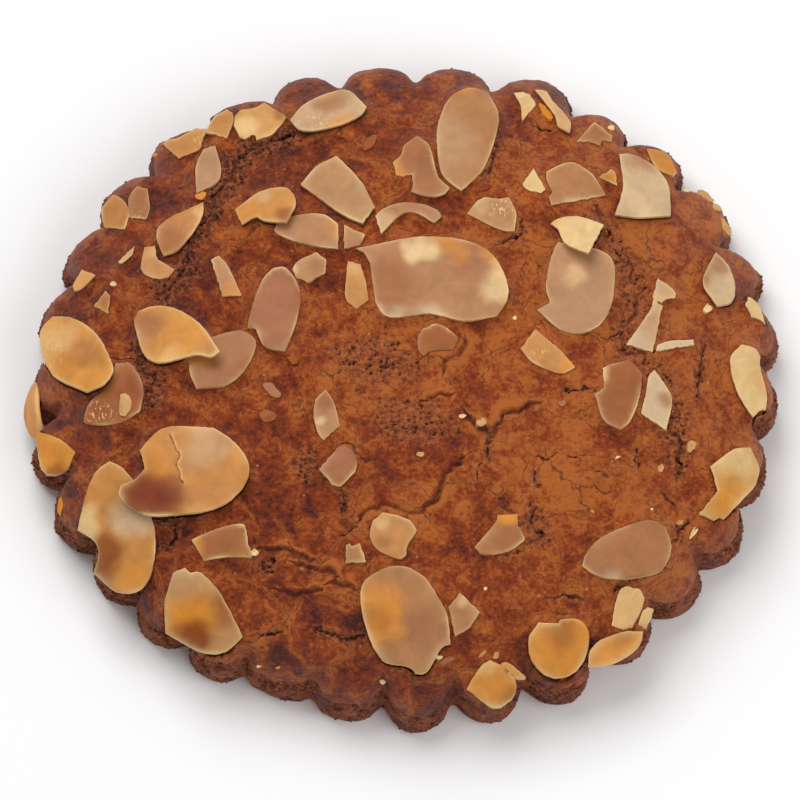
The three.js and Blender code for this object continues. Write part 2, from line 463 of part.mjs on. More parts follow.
// Closed plate between two surfaces over a piece's outline.
function plate({ at, outline }, lower, upper) {
  const mesh = new RingMesh();
  const bottom = mesh.addRing(outline.map(({ x, y }) => [x, y, lower(x, y)]));
  const top = mesh.addRing(outline.map(({ x, y }) => [x, y, upper(x, y)]));
  mesh.stitch(bottom, top);
  mesh.close(top, [...at, upper(...at)]);
  mesh.close(bottom, [...at, lower(...at)], true);
  return mesh.geometry();
}

function chipSolid(piece) {
  const surface = layer(piece, 1);
  const { proud = CHIP_PROUD, sunk = CHIP_SUNK } = piece;
  return plate(piece, (x, y) => surface(x, y) - sunk, (x, y) => surface(x, y) + proud);
}

// Highest thing already lying at a place: the dome, a stuck chip or an earlier slice.
function supportHeight(x, y, chips, slicesBelow) {
  const stuck = chips.filter((chip) => covers(chip, x, y));
  const heights = stuck.map((chip) => domeHeight(x, y) + (chip.proud ?? CHIP_PROUD));
  const slices = slicesBelow.filter(({ piece }) => covers(piece, x, y));
  return Math.max(domeHeight(x, y), ...heights, ...slices.map(({ upper }) => upper(x, y)));
}

// Rests a slice on what is below it, a small gap clear of it everywhere. It first rocks up towards
// the place where it would cut deepest into something, then rises as much as it still has to.
function restSlice(piece, chips, slicesBelow) {
  const surface = layer(piece, SLICE_BEND);
  const [x0, y0] = piece.at;
  const deepestCut = (lower) => {
    let deepest = { cut: 0, x: x0, y: y0 };
    piece.outline.forEach(({ x: x1, y: y1 }) => {
      for (let share = 0; share <= 1; share += REST_STEP) {
        const x = x0 + share * (x1 - x0);
        const y = y0 + share * (y1 - y0);
        const straight = lower(x0, y0) + share * (lower(x1, y1) - lower(x0, y0));
        const cut = supportHeight(x, y, chips, slicesBelow) - straight;
        deepest = cut > deepest.cut ? { cut, x, y } : deepest;
      }
    });
    return deepest;
  };
  const contact = deepestCut(surface);
  const arm = new THREE.Vector2(contact.x - x0, contact.y - y0);
  const lever = arm.length() + piece.reach / 2;
  const tilt = arm.setLength(contact.cut / lever);
  const rise = contact.cut * (piece.reach / 2 / lever);
  const rocked = (x, y) => surface(x, y) + rise + tilt.x * (x - x0) + tilt.y * (y - y0);
  const lift = deepestCut(rocked).cut + SLICE_GAP;
  const lower = (x, y) => rocked(x, y) + lift;
  return { piece, lower, upper: (x, y) => lower(x, y) + SLICE_THICKNESS };
}

// Wedge-shaped cutter along a crack, rising out of the crust at both ends.
function crackCutter({ run, width, depth }) {
  const mesh = new RingMesh();
  const sections = run.map(([x, y], i) => {
    const before = run[Math.max(i - 1, 0)];
    const after = run[Math.min(i + 1, run.length - 1)];
    const along = new THREE.Vector2(after[0] - before[0], after[1] - before[1]).normalize();
    const atEnd = i === 0 || i === run.length - 1;
    const side = (width * (depth + CRACK_RISE)) / (2 * depth);
    const brim = domeHeight(x, y) + CRACK_RISE;
    const floor = atEnd ? brim - CRACK_END : domeHeight(x, y) - hollow(x, y) - depth;
    return mesh.addRing([
      [x - side * along.y, y + side * along.x, brim],
      [x + side * along.y, y - side * along.x, brim],
      [x, y, floor],
    ]);
  });
  for (let i = 1; i < sections.length; i += 1) {
    mesh.stitch(sections[i - 1], sections[i]);
  }
  mesh.triangles.push(...sections.at(-1), ...sections[0].toReversed());
  return mesh.geometry();
}

function toSolid(geometry) {
  const bare = geometry.clone();
  bare.deleteAttribute('normal');
  bare.deleteAttribute('uv');
  const merged = mergeVertices(bare);
  const vertProperties = new Float32Array(merged.getAttribute('position').array);
  const triVerts = new Uint32Array(merged.getIndex().array);
  return new wasm.Manifold(new wasm.Mesh({ numProp: 3, vertProperties, triVerts }));
}

function toGeometry(solid) {
  const { vertProperties, triVerts } = solid.getMesh();
  const geometry = new THREE.BufferGeometry();
  geometry.setAttribute('position', new THREE.BufferAttribute(vertProperties, 3));
  geometry.setIndex(new THREE.BufferAttribute(triVerts, 1));
  return geometry;
}

// Crust with its cracks cut in and its small chips stuck on.
function finishedCrust(chips) {
  let crust = toSolid(bareCrust());
  CRACKS.forEach((crack) => {
    crust = crust.subtract(toSolid(crackCutter(crack)));
  });
  chips.forEach((chip) => {
    crust = crust.add(toSolid(chipSolid(chip)));
  });
  const [low, high] = STANDING_HEIGHTS;
  crust = crust.add(toSolid(plate(shaped(STANDING_CHIP, CHIP_TOLERANCE), () => low, () => high)));
  return toGeometry(crust);
}

function addMesh(group, name, geometry, colour, roughness) {
  geometry.computeVertexNormals();
  const material = new THREE.MeshStandardMaterial({ color: colour, roughness, metalness: 0 });
  const mesh = new THREE.Mesh(geometry, material);
  mesh.name = name;
  group.add(mesh);
}

function buildCookie() {
  const cookie = new THREE.Group();
  const chips = CHIPS.map((piece) => shaped(piece, CHIP_TOLERANCE));
  addMesh(cookie, 'crust', finishedCrust(chips), CRUST_COLOUR, CRUST_ROUGHNESS);
  const rested = [];
  SLICES.forEach((piece, i) => {
    const slice = restSlice(shaped(piece, SLICE_TOLERANCE), chips, rested);
    rested.push(slice);
    const geometry = plate(slice.piece, slice.lower, slice.upper);
    const name = `almond_slice_${String(i + 1).padStart(2, '0')}`;
    addMesh(cookie, name, geometry, ALMOND_COLOURS[piece.tone], ALMOND_ROUGHNESS);
  });
  const box = new THREE.Box3().setFromObject(cookie);
  const middle = box.getCenter(new THREE.Vector3());
  cookie.position.set(-middle.x, -middle.y, 0);
  return cookie;
}

export default buildCookie();
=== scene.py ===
"""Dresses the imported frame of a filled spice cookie: a scalloped, domed biscuit with flaked almonds."""

import math
from functools import partial

import bmesh
import bpy
import numpy as np
from bpy.props import FloatProperty, FloatVectorProperty, IntProperty, PointerProperty
from mathutils import Matrix, Vector, kdtree, noise
from mathutils.geometry import delaunay_2d_cdt


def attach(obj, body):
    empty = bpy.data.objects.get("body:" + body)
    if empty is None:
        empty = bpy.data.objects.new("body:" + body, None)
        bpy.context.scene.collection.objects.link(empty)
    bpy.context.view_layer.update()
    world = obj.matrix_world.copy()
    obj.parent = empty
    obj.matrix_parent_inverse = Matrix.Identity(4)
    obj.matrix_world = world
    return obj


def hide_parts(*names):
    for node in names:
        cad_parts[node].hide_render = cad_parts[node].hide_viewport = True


bl_info = {
    "name": "Filled Spice Cookie",
    "version": (1, 0, 0),
    "blender": (4, 5, 0),
    "location": "3D View > Sidebar > Cookie",
    "description": "Builds a scalloped spice cookie with flaked almonds over its packed frame",
    "category": "Add Mesh",
}

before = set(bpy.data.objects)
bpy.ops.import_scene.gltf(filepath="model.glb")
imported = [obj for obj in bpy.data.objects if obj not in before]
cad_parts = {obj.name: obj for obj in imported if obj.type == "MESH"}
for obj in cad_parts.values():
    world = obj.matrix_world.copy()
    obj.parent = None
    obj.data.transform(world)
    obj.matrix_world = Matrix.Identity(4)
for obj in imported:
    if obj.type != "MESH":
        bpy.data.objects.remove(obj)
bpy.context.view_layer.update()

# Sizes and places below are in millimetres, and places are from the oval's middle.
MM = 0.001             # metres in a millimetre

# Form of the crust, as in the frame
LOBE_FADE = 6          # distance inwards over which the scallops die out
LOBE_DEPTH = 3         # valley between two lobes, inwards from the oval
GROOVE_DEPTH = 1.3     # groove on top between two lobes, at the edge
GROOVE_RUN = 1.5       # distance inwards over which that groove dies out
EDGE_ROUND = 2.2       # rounding of the top edge
WALL_LEAN = 0.6        # how far the top edge stands in from the foot of the wall
FOOT_TUCK = 0.8        # how far the underside stands in from the wall
UNDULATION = 0.35      # deepest hollow of the frame's uneven top
DOME_POWERS = (4, 0.9)    # the first flattens the middle of the dome, the second rounds its shoulder
# Side of the crust from the top edge down: distance out from the foot, share of the edge's height.
WALL_PROFILE = [(-0.6, 1), (-0.42, 0.86), (-0.2, 0.7), (-0.05, 0.52), (0, 0.34), (-0.08, 0.18),
                (-0.32, 0.06), (-0.8, 0)]

# Unevenness of the baked dough: size of the bumps, their height and their seed. Those of the top also
# have the distances from the edge at which they begin and are full.
TOP_BUMPS = [(9, 0.3, 40, 0, 6), (3.2, 0.2, 41, -1, 0), (1.4, 0.1, 42, -1, 0), (1.8, 0.25, 45, 7, 1)]
WALL_BUMPS = [(2.4, 0.3, 51), (0.9, 0.14, 52)]
TEAR_BUMPS = [(1.5, 0.5, 31), (0.6, 0.3, 32)]
TEAR_DEPTH = 0.22      # how far torn crumb lies below the skin
TEAR_EDGE = 0.35       # softness of a torn place's edge, as a share of its size
FOLD_LIP = 0.2         # a line whose lips rise more than this is a fold
FOLD_BACK = 0.15       # rise of a fold's right lip, as a share of its left
BANK_RUN = 1.1         # distance over which dough falls away from an almond piece
BANK_REACH = 4         # distance from it within which that is worked out
WALL_CRUMB = (0.3, 1.4)   # heights between which the wall's crumb and relief fade in, above the foot
# Sizes in the relief of the skin and the crumb.
RELIEF = {
    "Blister Size": 1.6, "Blister Height": 0.22, "Grain Size": 0.7, "Grain Height": 0.2,
    "Crumb Size": 0.9, "Crumb Height": 1, "Pore Size": 0.75, "Pore Depth": 0.8, "Plate Height": 0.22,
}
PLATE_SIZE = 6.5       # plates of skin that have lifted apart in the oven
# Loose crumbs in torn places, in metres, and how far each is turned about its axes.
CRUMBS = {"Crumbs per Area": 2.2 / MM ** 2, "Smallest": 0.2 * MM, "Largest": 0.5 * MM}
CRUMB_TURN = (6.28, 6.28, 6.28)

# Mesh of the crust
SPOKES = 1024          # points round the edge
EDGE_RINGS = (0.08, 0.22, 0.42, 0.7, 1.05, 1.45)    # rings of points, in from the top edge
BASE_RINGS = (0.93, 0.8, 0.6, 0.35, 0.12)           # rings on the underside, as shares of its edge
WALL_STEP = 0.075      # between the rings of the wall, measured along its profile
LINE_STEP = 0.2        # between points along a line of the skin
LINE_ROWS = (-1.05, -0.62, -0.32, 0, 0.32, 0.62, 1.05)    # rows of points across a line, in its widths
COLLARS = (-0.12, 0.04, 0.25)    # rings of points round an almond piece, out from its outline
LINE_REACH = 1.1       # other points keep this many widths from a line, and these gaps besides
PLAIN_GAP = 0.25
CRUMB_GAP = 0.15
COLLAR_GAP = 0.28      # from plain points to the outline of an almond piece
CRUMB_SPACING = 0.24   # between points in torn crumb
HIDDEN_SHARE = 6       # one point in this many stays where an almond piece hides the crust
GRID_SHAKE = 0.18      # how far grid points are moved, as a share of their spacing

# Skin colours: size, detail, roughness and distortion of the patches, blotches and specks in it.
MOTTLE = [(6, 4.0, 0.6, 0.8), (2, 5.0, 0.65, 0.4), (0.6, 5.0, 0.75, 0.0)]
# Stops of the colour ramps for skin and crumb: place and colour.
SKIN_STOPS = [(0.53, "skin_dark"), (0.68, "skin"), (0.8, "skin_light")]
# The crumb ramp's darkest stop, the crack colour, is painted shade in its pores.
CRUMB_STOPS = [(0.33, "crack"), (0.47, "crumb"), (0.61, "skin_light"), (0.74, "flour")]
# Edges of the plates: start and end, as shares of a plate, and strength.
# Light lip, partly thin skin and partly painted highlight on the raised edge.
PLATE_LIP = (0.02, 0.08, 0.8)
# Dark line, painted shade in the gap between plates.
PLATE_SHADE_LINE = (0.005, 0.025, 0.65)
FLOUR_SPACING = 2.4    # between pale specks of almond flour
# The skin darkens away from a place right of the middle.
SHADE = 0.095
SHADE_MIDDLE = (27, -2)
SHADE_REACH = (63, 53)
SHADE_START = 0.45     # share of that reach where it begins
SHADE_CLOUDS = (14, 0.025, 44)    # size, depth and seed of clouds in it
WALL_SHADE = 0.09

# Almonds
CORNER = math.radians(32)        # an outline that turns more than this has a corner there
RAGGED_ROOM = 0.2      # how far a ragged edge may stand out from the frame's
GROWN_SHARE = 0.35     # raggedness of an edge that grew, as a share of that of a broken one
OUTLINE_STEP = 0.3     # between points along an outline
FLAKE_SPACING = 0.4    # between points on an almond's face
RIM_INSET = 0.2        # ring of points inside its edge
SHARP_EDGE = math.radians(50)    # its top meets its side in a crisp edge
CHIP_THICKNESS = 1.4
SLICE_BED = 1.05       # depth of the dough below a slice's top
CHIP_BED = 1.3
CHIP_PROUD = 0.15      # what stands higher than this over the frame's dome is a chip
BIT_DENTS = {"Dent Size": 0.9 * MM, "Dent Depth": 0.9 * MM}
BIT_SINK = 0.15        # middle of a bit below the crust

# Stage, in metres
TARGET = (-0.0003, -0.00226, 0.01)
SENSOR = 36            # width of the camera's sensor, in its usual millimetres
# Lights: name, place, size and power.
LIGHTS = [("key", (-0.2, 0.4, 0.75), 0.6, 5.2), ("fill", (0.45, -0.4, 0.65), 0.7, 3.0)]
SKY_STRENGTH = 0.3
FLOOR_HALF = 1.5
FLOOR_DROP = 0.00005   # keeps the floor clear of the underside

# Lines in the baked skin: width and depth of the groove, how far its lips rise, and the width of
# the torn crumb along it.
LINE_KINDS = {
    "tear": (0.5, 0.5, 0.06, 1.9),
    "crack": (0.36, 0.6, 0.08, 0.6),
    "hairline": (0.24, 0.35, 0.05, 0.25),
    "fold": (0.65, 0.5, 0.36, 0.0),
}
SKIN_LINES = {
    "tear": [
        [(-12.2, 34.1), (-14.3, 33.1), (-16.7, 32.5), (-18.5, 31.7), (-20.5, 30.6), (-21.2, 28.2),
         (-22.6, 26.4), (-24, 25.2), (-24.3, 23), (-25.7, 21.1), (-26.8, 19.5), (-27.9, 17),
         (-28.4, 15), (-30.1, 13), (-31.1, 12.2), (-30.5, 9.9)],
        [(-35.7, 5.3), (-35.2, 3.2), (-34.8, 1.1), (-33.2, 0.4), (-33.8, -1.6), (-34.5, -3.4),
         (-35.1, -4.7)],
        [(35.1, -6.7), (35.4, -8.4), (34.6, -10), (34.8, -11.4), (35.7, -12.3), (35.2, -14.3),
         (35.5, -15.4), (34.9, -17.1)],
        [(27.3, 1.7), (28.8, 2.4), (28.9, -0.2), (31.4, -0.7), (32.1, -2.4), (34.4, -3.7), (34.9, -5.8)],
        [(26.3, 21), (26.9, 19.2), (28.1, 17), (26.8, 15.3)],
        [(28.2, 14.6), (29.4, 12.8), (30.7, 12.4), (30.5, 10.7), (29.7, 9.4)],
        [(32.5, 9), (31.3, 7.4), (30.8, 5.7), (28.9, 2.6)],
        [(16.1, -20.5), (15.3, -22.2), (15.7, -23.5), (16.8, -24.6), (15.1, -25.4), (14.9, -26.4)],
    ],
    "crack": [
        [(14.4, 31.1), (13.7, 28.4), (12.8, 26.6), (11.6, 25.2)],
        [(16.6, 19.6), (16.6, 18.2), (16, 16.7), (12.6, 15.5)],
        [(20.2, -5.5), (23.7, -5.2), (25.5, -5.2)],
        [(36.8, -21.5), (35.3, -23.2), (34.5, -24.5), (33.8, -25.6), (32.8, -27.6), (32, -29.3)],
        [(-14.7, -34.4), (-12.7, -35.7), (-9.9, -36.4), (-7.4, -36.3)],
        [(-4.9, -39.8), (-2.9, -40.5), (-0.9, -41.4), (0.7, -41.1)],
        [(15.9, -15.5), (16, -17.1), (16.4, -18.2)],
        [(25.5, -32.2), (26.5, -31.1), (29.3, -30.6)],
        [(13.3, -26.8), (11.3, -27.3), (10.8, -27.8)],
        [(39.3, 1.9), (39.7, 0.5), (38.8, -2), (38.5, -4.7), (38.9, -6)],
        [(10.3, -11.1), (10.2, -13.8), (10.1, -15)],
        [(-9.5, -17), (-9.3, -19.1), (-9.5, -20.3)],
        [(-34.1, -19.4), (-31.6, -19.8), (-31.9, -21.1), (-33.5, -22.7)],
    ],
    "hairline": [
        [(16.4, -14.1), (17.9, -14.6), (19.2, -13.8)],
        [(-9.4, -11.2), (-8, -11.3), (-6.6, -13.1), (-5.3, -13.6)],
        [(-10, -23.4), (-8.4, -22.7), (-7.6, -22.2)],
        [(11, -19.7), (12.6, -20.1)],
        [(11.3, -20.7), (13.3, -21.5)],
        [(-21.8, -35.4), (-20.6, -34.8), (-18.4, -34.7)],
        [(32.6, -19.2), (34, -20.5)],
        [(19.7, -14.1), (21.7, -14.3), (23.5, -14.2)],
        [(29.7, -13.5), (29.7, -15.6)],
        [(23.8, -16), (25.7, -17.2)],
        [(-38.5, 3.5), (-35.6, 3)],
        [(19, 33.1), (20.4, 32.2), (22, 32.1)],
        [(17.2, -32.7), (19.6, -32.4), (21.3, -32.8), (21.9, -33.4)],
        [(18.2, -34.6), (20.3, -35)],
        [(9.2, -14), (8.7, -15.8), (8.6, -17.2)],
        [(40.4, 13.4), (39.9, 11.4)],
    ],
    "fold": [
        [(7.7, -13.1), (6.7, -14), (5.1, -14.9), (4.4, -16.1), (3.6, -17.4), (3, -18.9), (1.7, -20.1),
         (0.4, -20.9), (-1.7, -20.5), (-3.7, -19.7), (-5.3, -20), (-6.6, -20.6), (-7.5, -22.2)],
        [(7.1, -7.5), (8.2, -8.7), (9.7, -9.8), (10.6, -10.9), (12.5, -8.1), (14.1, -7.8), (15.5, -7.2),
         (18, -6.5)],
        [(7.9, 3.3), (8.1, 1.7), (7.2, 0.7), (5.5, -0.3), (5, -1.3), (4.9, -2.7)],
        [(1.5, -5.8), (3.4, -5.1), (4.5, -4.9), (6.3, -5)],
        [(-21.1, -24.1), (-17.8, -24.4), (-14.7, -25.9), (-13.3, -26.5)],
        [(-17, -26.3), (-14.5, -27.2), (-12.2, -27.8), (-10.2, -28.9)],
        [(-12.3, -29.6), (-10.6, -29.6), (-8.1, -31)],
        [(-19.3, -29.5), (-15.4, -30.4), (-12.3, -30)],
    ],
}

# Places where the skin has torn off and the porous crumb shows: middle, half length, half width, turn.
CRUMB_ZONES = [
    (-4.2, 0.4, 7.2, 4.2, -12),
    (0.6, -8.2, 6.2, 3.8, -10),
    (-13.9, -13.4, 2.6, 1.8, 80),
    (15.9, -23.4, 3.2, 1.8, 100),
    (-20.1, -26.4, 1.9, 1.1, -20),
    (-32.8, -1.6, 3.4, 1.5, 75),
    (-26.8, 20.2, 5.4, 2, 60),
    (-29.6, 13.6, 3, 2.2, 60),
    (28.6, 15.4, 3.6, 1.3, 110),
    (35, -13.2, 3.8, 1.3, 88),
]

# Broad patches of darker or lighter skin: middle, spread and how much darker.
SKIN_PATCHES = [(-5, -16, 9, 0.04), (32, -27, 9, -0.035), (-26, -2, 8, -0.04)]

# Tones of each slice: patches of milky, cream, golden, glazed, veiled or toasted almond as (tone,
# strength, facing in degrees, distance and spread in half lengths), where a tone without a place
# covers the whole piece. The ground tone is pale. A flecked patch has whitish flecks where the cut
# flesh has frayed.
EVEN = (0, 0, 9)       # place and spread of a tone that has none of its own
SLICE_TONES = {
    1: [("milky", 0.7), ("glazed", 0.25), ("glazed", 0.85, 85, 0.5, 0.65),
        ("golden", 0.7, -60, 0.7, 0.6), ("flecked", 0.6, -120, 0.35, 0.5)],
    2: [("glazed", 0.6), ("milky", 0.6, 10, 0.7, 0.5)],
    3: [("glazed", 0.75), ("veiled", 0.3, 110, 0.7, 0.6), ("golden", 0.4, 0, 0.8, 0.35),
        ("milky", 0.5, 230, 0.6, 0.35)],
    4: [("glazed", 0.5), ("golden", 0.55), ("milky", 0.4, 110, 0.4, 0.4),
        ("toasted", 0.7, -45, 0.6, 0.45)],
    5: [("golden", 0.7), ("glazed", 0.5), ("toasted", 0.4, 200, 0.5, 0.8),
        ("cream", 0.3, 40, 0.8, 0.3)],
    6: [("glazed", 1), ("veiled", 0.25), ("veiled", 0.9, 0, 0.75, 0.6),
        ("golden", 0.4, 145, 0.7, 0.4), ("cream", 0.3, 235, 0.75, 0.3)],
    7: [("glazed", 0.8), ("veiled", 0.3), ("golden", 0.5, 180, 0.6, 0.4),
        ("veiled", 0.5, -50, 0.7, 0.6)],
    8: [("golden", 0.8), ("glazed", 0.75, 150, 0.65, 0.7), ("cream", 0.3, -90, 0.4, 0.3),
        ("toasted", 0.3, -25, 0.95, 0.4)],
    9: [("glazed", 1), ("veiled", 0.7), ("toasted", 0.3, 20, 0.7, 0.7),
        ("flecked", 0.7, 225, 0.6, 0.5)],
    10: [("golden", 0.75), ("glazed", 0.5, -20, 0.2, 0.6), ("cream", 0.4, 130, 0.5, 0.5),
         ("flecked", 0.5, 170, 0.5, 0.4)],
    11: [("glazed", 0.7), ("milky", 0.25, 200, 0.3, 0.7), ("golden", 0.5, 85, 0.9, 0.35),
         ("veiled", 0.3, 0, 0.6, 0.35)],
    12: [("glazed", 0.9), ("veiled", 0.35), ("veiled", 0.85, 0, 0.65, 0.5),
         ("golden", 0.8, 170, 0.7, 0.45)],
    13: [("glazed", 0.85), ("veiled", 0.3, 80, 0.6, 0.5), ("cream", 0.4, 200, 0.75, 0.5)],
    14: [("milky", 0.75), ("glazed", 0.7, 80, 0.7, 0.6), ("cream", 0.4, -90, 0.85, 0.3)],
    15: [("golden", 0.4), ("milky", 0.4), ("cream", 0.4, 90, 0.7, 0.5)],
    16: [("glazed", 0.8), ("milky", 0.2), ("veiled", 0.3, 170, 0.7, 0.4),
         ("cream", 0.4, 100, 0.3, 0.3), ("milky", 0.5, 0, 0.8, 0.3)],
    17: [("cream", 0.8), ("golden", 0.6, 150, 0.7, 0.5), ("glazed", 0.35, 90, 0.7, 0.4)],
    18: [("glazed", 0.75), ("veiled", 0.5, 185, 0.55, 0.45), ("veiled", 0.3, 40, 0.5, 0.4),
         ("golden", 0.6, 70, 0.5, 0.25), ("cream", 0.8, 105, 0.42, 0.28), ("golden", 0.7, 15, 0.85, 0.4),
         ("cream", 0.7, -8, 0.78, 0.35), ("milky", 0.9, 218, 0.8, 0.4), ("milky", 0.8, -95, 0.5, 0.35)],
    19: [("milky", 0.75), ("veiled", 1, 170, 0.65, 0.55), ("glazed", 0.7, 95, 0.6, 0.5)],
    20: [("cream", 0.6), ("golden", 0.4, 0, 0.5, 0.6), ("glazed", 0.4, 170, 0.6, 0.4)],
    21: [("glazed", 1), ("veiled", 0.55), ("cream", 1, 125, 0.85, 0.35),
         ("milky", 0.4, 10, 0.8, 0.35)],
    22: [("glazed", 0.5), ("golden", 0.5), ("milky", 0.8, 40, 0.35, 0.5),
         ("cream", 0.7, 160, 0.55, 0.35), ("toasted", 0.7, -150, 0.3, 0.35),
         ("toasted", 0.95, -125, 0.7, 0.45), ("golden", 0.6, -80, 0.75, 0.4)],
    23: [("glazed", 0.65), ("golden", 0.5), ("milky", 0.4, 45, 0.55, 0.5),
         ("golden", 0.9, 165, 0.45, 0.45), ("toasted", 1, 212, 0.7, 0.8), ("toasted", 0.6, 245, 0.4, 0.45)],
    24: [("glazed", 0.5), ("milky", 0.2, 100, 0.75, 0.7), ("golden", 1, -120, 0.15, 0.65),
         ("golden", 1, 210, 0.8, 0.5), ("toasted", 0.85, -100, 0.55, 0.5), ("veiled", 0.7, -10, 0.65, 0.5)],
    25: [("glazed", 0.7), ("golden", 0.8, 160, 0.45, 0.8), ("veiled", 0.4, 165, 0.5, 0.4),
         ("glazed", 0.7, -20, 0.4, 0.6), ("glazed", 0.5, 235, 0.6, 0.35), ("cream", 0.3, 0, 0.95, 0.25)],
    26: [("glazed", 0.7), ("veiled", 0.4), ("milky", 0.5, 235, 0.7, 0.35)],
    27: [("golden", 1), ("toasted", 0.5, 80, 0.4, 0.75)],
    28: [("golden", 1), ("toasted", 0.4, 60, 0.5, 0.5), ("cream", 0.2, 180, 0.6, 0.5)],
    29: [("cream", 0.5, 95, 0.5, 0.6), ("golden", 0.9, -100, 0.4, 0.7), ("golden", 0.4, 0, 0.7, 0.4)],
}

# Slices that have cracked across.
SLICE_CRACKS = {23: [(-31.6, -8.6), (-30.5, -11.4), (-30.9, -12.8), (-30.3, -15.2)]}

# Slices that the dough has risen round, and how far below a piece's top the dough stands.
SUNK_SLICES = {3, 6, 7, 9, 11, 12, 13, 16, 18, 21, 26}
SUNK_BANK = 0.06
LAID_BANK = 0.85
CHIP_BANK = 0.2

# Tones of the stuck chips by where they lie.
CHIP_TONES = {
    (-17.2, 36): [("golden", 0.3), ("cream", 0.6, 200, 0.3, 0.6), ("toasted", 0.5, 225, 0.8, 0.35),
                  ("toasted", 0.5, 20, 0.8, 0.3)],
    (-22.2, 36.5): [("golden", 0.6), ("glazed", 0.35), ("toasted", 0.6, 90, 0.8, 0.4),
                    ("flecked", 0.4, -90, 0.3, 0.5)],
    (-26.9, 34.3): [("golden", 0.6), ("glazed", 0.5), ("toasted", 0.5, 120, 0.6, 0.5)],
    (-24.4, 29.3): [("glazed", 0.8), ("milky", 0.25), ("cream", 0.5, -40, 0.8, 0.4)],
    (-37, 25): [("glazed", 0.8), ("golden", 0.3), ("golden", 0.6, 0, 0.9, 0.35)],
    (-33.8, 25.8): [("glazed", 0.9), ("veiled", 0.25), ("flecked", 0.4, -90, 0.4, 0.5)],
    (-6, 17.5): [("glazed", 0.7), ("cream", 0.6, 0, 0.8, 0.4)],
    (-32, 16.2): [("golden", 0.7), ("glazed", 0.5), ("cream", 0.3, 100, 0.6, 0.4)],
    (-35.7, 18.1): [("milky", 0.5), ("golden", 0.3)],
    (-41.8, 15.8): [("golden", 0.7), ("milky", 0.2)],
    (-39.2, 11.7): [("golden", 0.9), ("toasted", 0.6)],
    (-23, 12.9): [("glazed", 0.7), ("golden", 0.6, -70, 0.7, 0.5)],
    (-11.7, 13.7): [("glazed", 0.5), ("cream", 0.5, 180, 0.8, 0.4), ("glazed", 0.8, 0, 0.5, 0.8)],
    (-5.7, 10.5): [("glazed", 0.6), ("golden", 0.4), ("cream", 0.3, 90, 0.7, 0.4)],
    (13.2, 19.8): [("glazed", 0.65), ("cream", 0.3, 150, 0.5, 0.5), ("flecked", 0.7, 20, 0.3, 0.6)],
    (18.5, 23.9): [("cream", 0.6)],
    (23.7, 23.8): [("glazed", 0.75), ("milky", 0.6, -70, 0.7, 0.35)],
    (28.7, 24.8): [("golden", 1), ("toasted", 0.3)],
    (35.9, 28.1): [("golden", 0.9), ("toasted", 0.2)],
    (18.2, 36.5): [("cream", 0.6), ("golden", 0.3, -90, 0.6, 0.5)],
    (27.4, 31.9): [("glazed", 0.8), ("veiled", 0.25), ("milky", 0.5, -100, 0.6, 0.35)],
    (18.6, -0.4): [("glazed", 0.6), ("golden", 0.4), ("flecked", 0.4, 150, 0.4, 0.4),
                   ("golden", 0.8, -30, 0.7, 0.4)],
    (34.7, 8): [("milky", 0.8), ("golden", 0.3, 0, 0.4, 0.6), ("glazed", 0.5, -100, 0.4, 0.5)],
    (32.1, 2.6): [("glazed", 1), ("cream", 0.6, 240, 0.85, 0.3)],
    (35.8, 0.7): [("milky", 1)],
    (46.8, 6.7): [("cream", 0.6)],
    (32.4, -7.2): [("milky", 0.9), ("veiled", 0.6, -30, 0.3, 0.4)],
    (4.4, 2.6): [("veiled", 0.95)],
    (-47.1, -7.4): [("golden", 0.9), ("toasted", 0.6, -90, 0.7, 0.6)],
    (-9.5, -14.2): [("glazed", 1), ("veiled", 0.2), ("cream", 0.6, -45, 0.8, 0.35)],
    (-10.9, -7): [("glazed", 0.8), ("veiled", 0.6, 90, 0.6, 0.6), ("cream", 0.6, -100, 0.3, 0.3)],
    (-25.3, -23.2): [("glazed", 0.8), ("veiled", 0.5), ("golden", 0.7, 180, 0.8, 0.4),
                     ("cream", 0.6, 40, 0.8, 0.3)],
    (-8.3, -26.1): [("glazed", 0.7)],
    (-3.2, -24): [("glazed", 0.6), ("golden", 0.25), ("cream", 0.4, 120, 0.6, 0.4),
                  ("toasted", 0.3, 215, 0.5, 0.4)],
    (11.1, -24.8): [("glazed", 0.8), ("veiled", 0.3), ("golden", 1, 80, 0.7, 0.5)],
    (27.3, -33.9): [("cream", 0.6), ("golden", 0.3)],
    (29.5, -34.8): [("golden", 0.4), ("cream", 0.5)],
    (5.3, -34.6): [("glazed", 0.8), ("cream", 0.4, 90, 0.6, 0.4)],
    (9, -42.9): [("golden", 0.9), ("cream", 0.5, 140, 0.6, 0.5), ("toasted", 0.45, -40, 0.6, 0.5)],
    (11, -41.8): [("golden", 0.8), ("cream", 0.5, 140, 0.6, 0.5), ("toasted", 0.4, -60, 0.6, 0.5)],
}

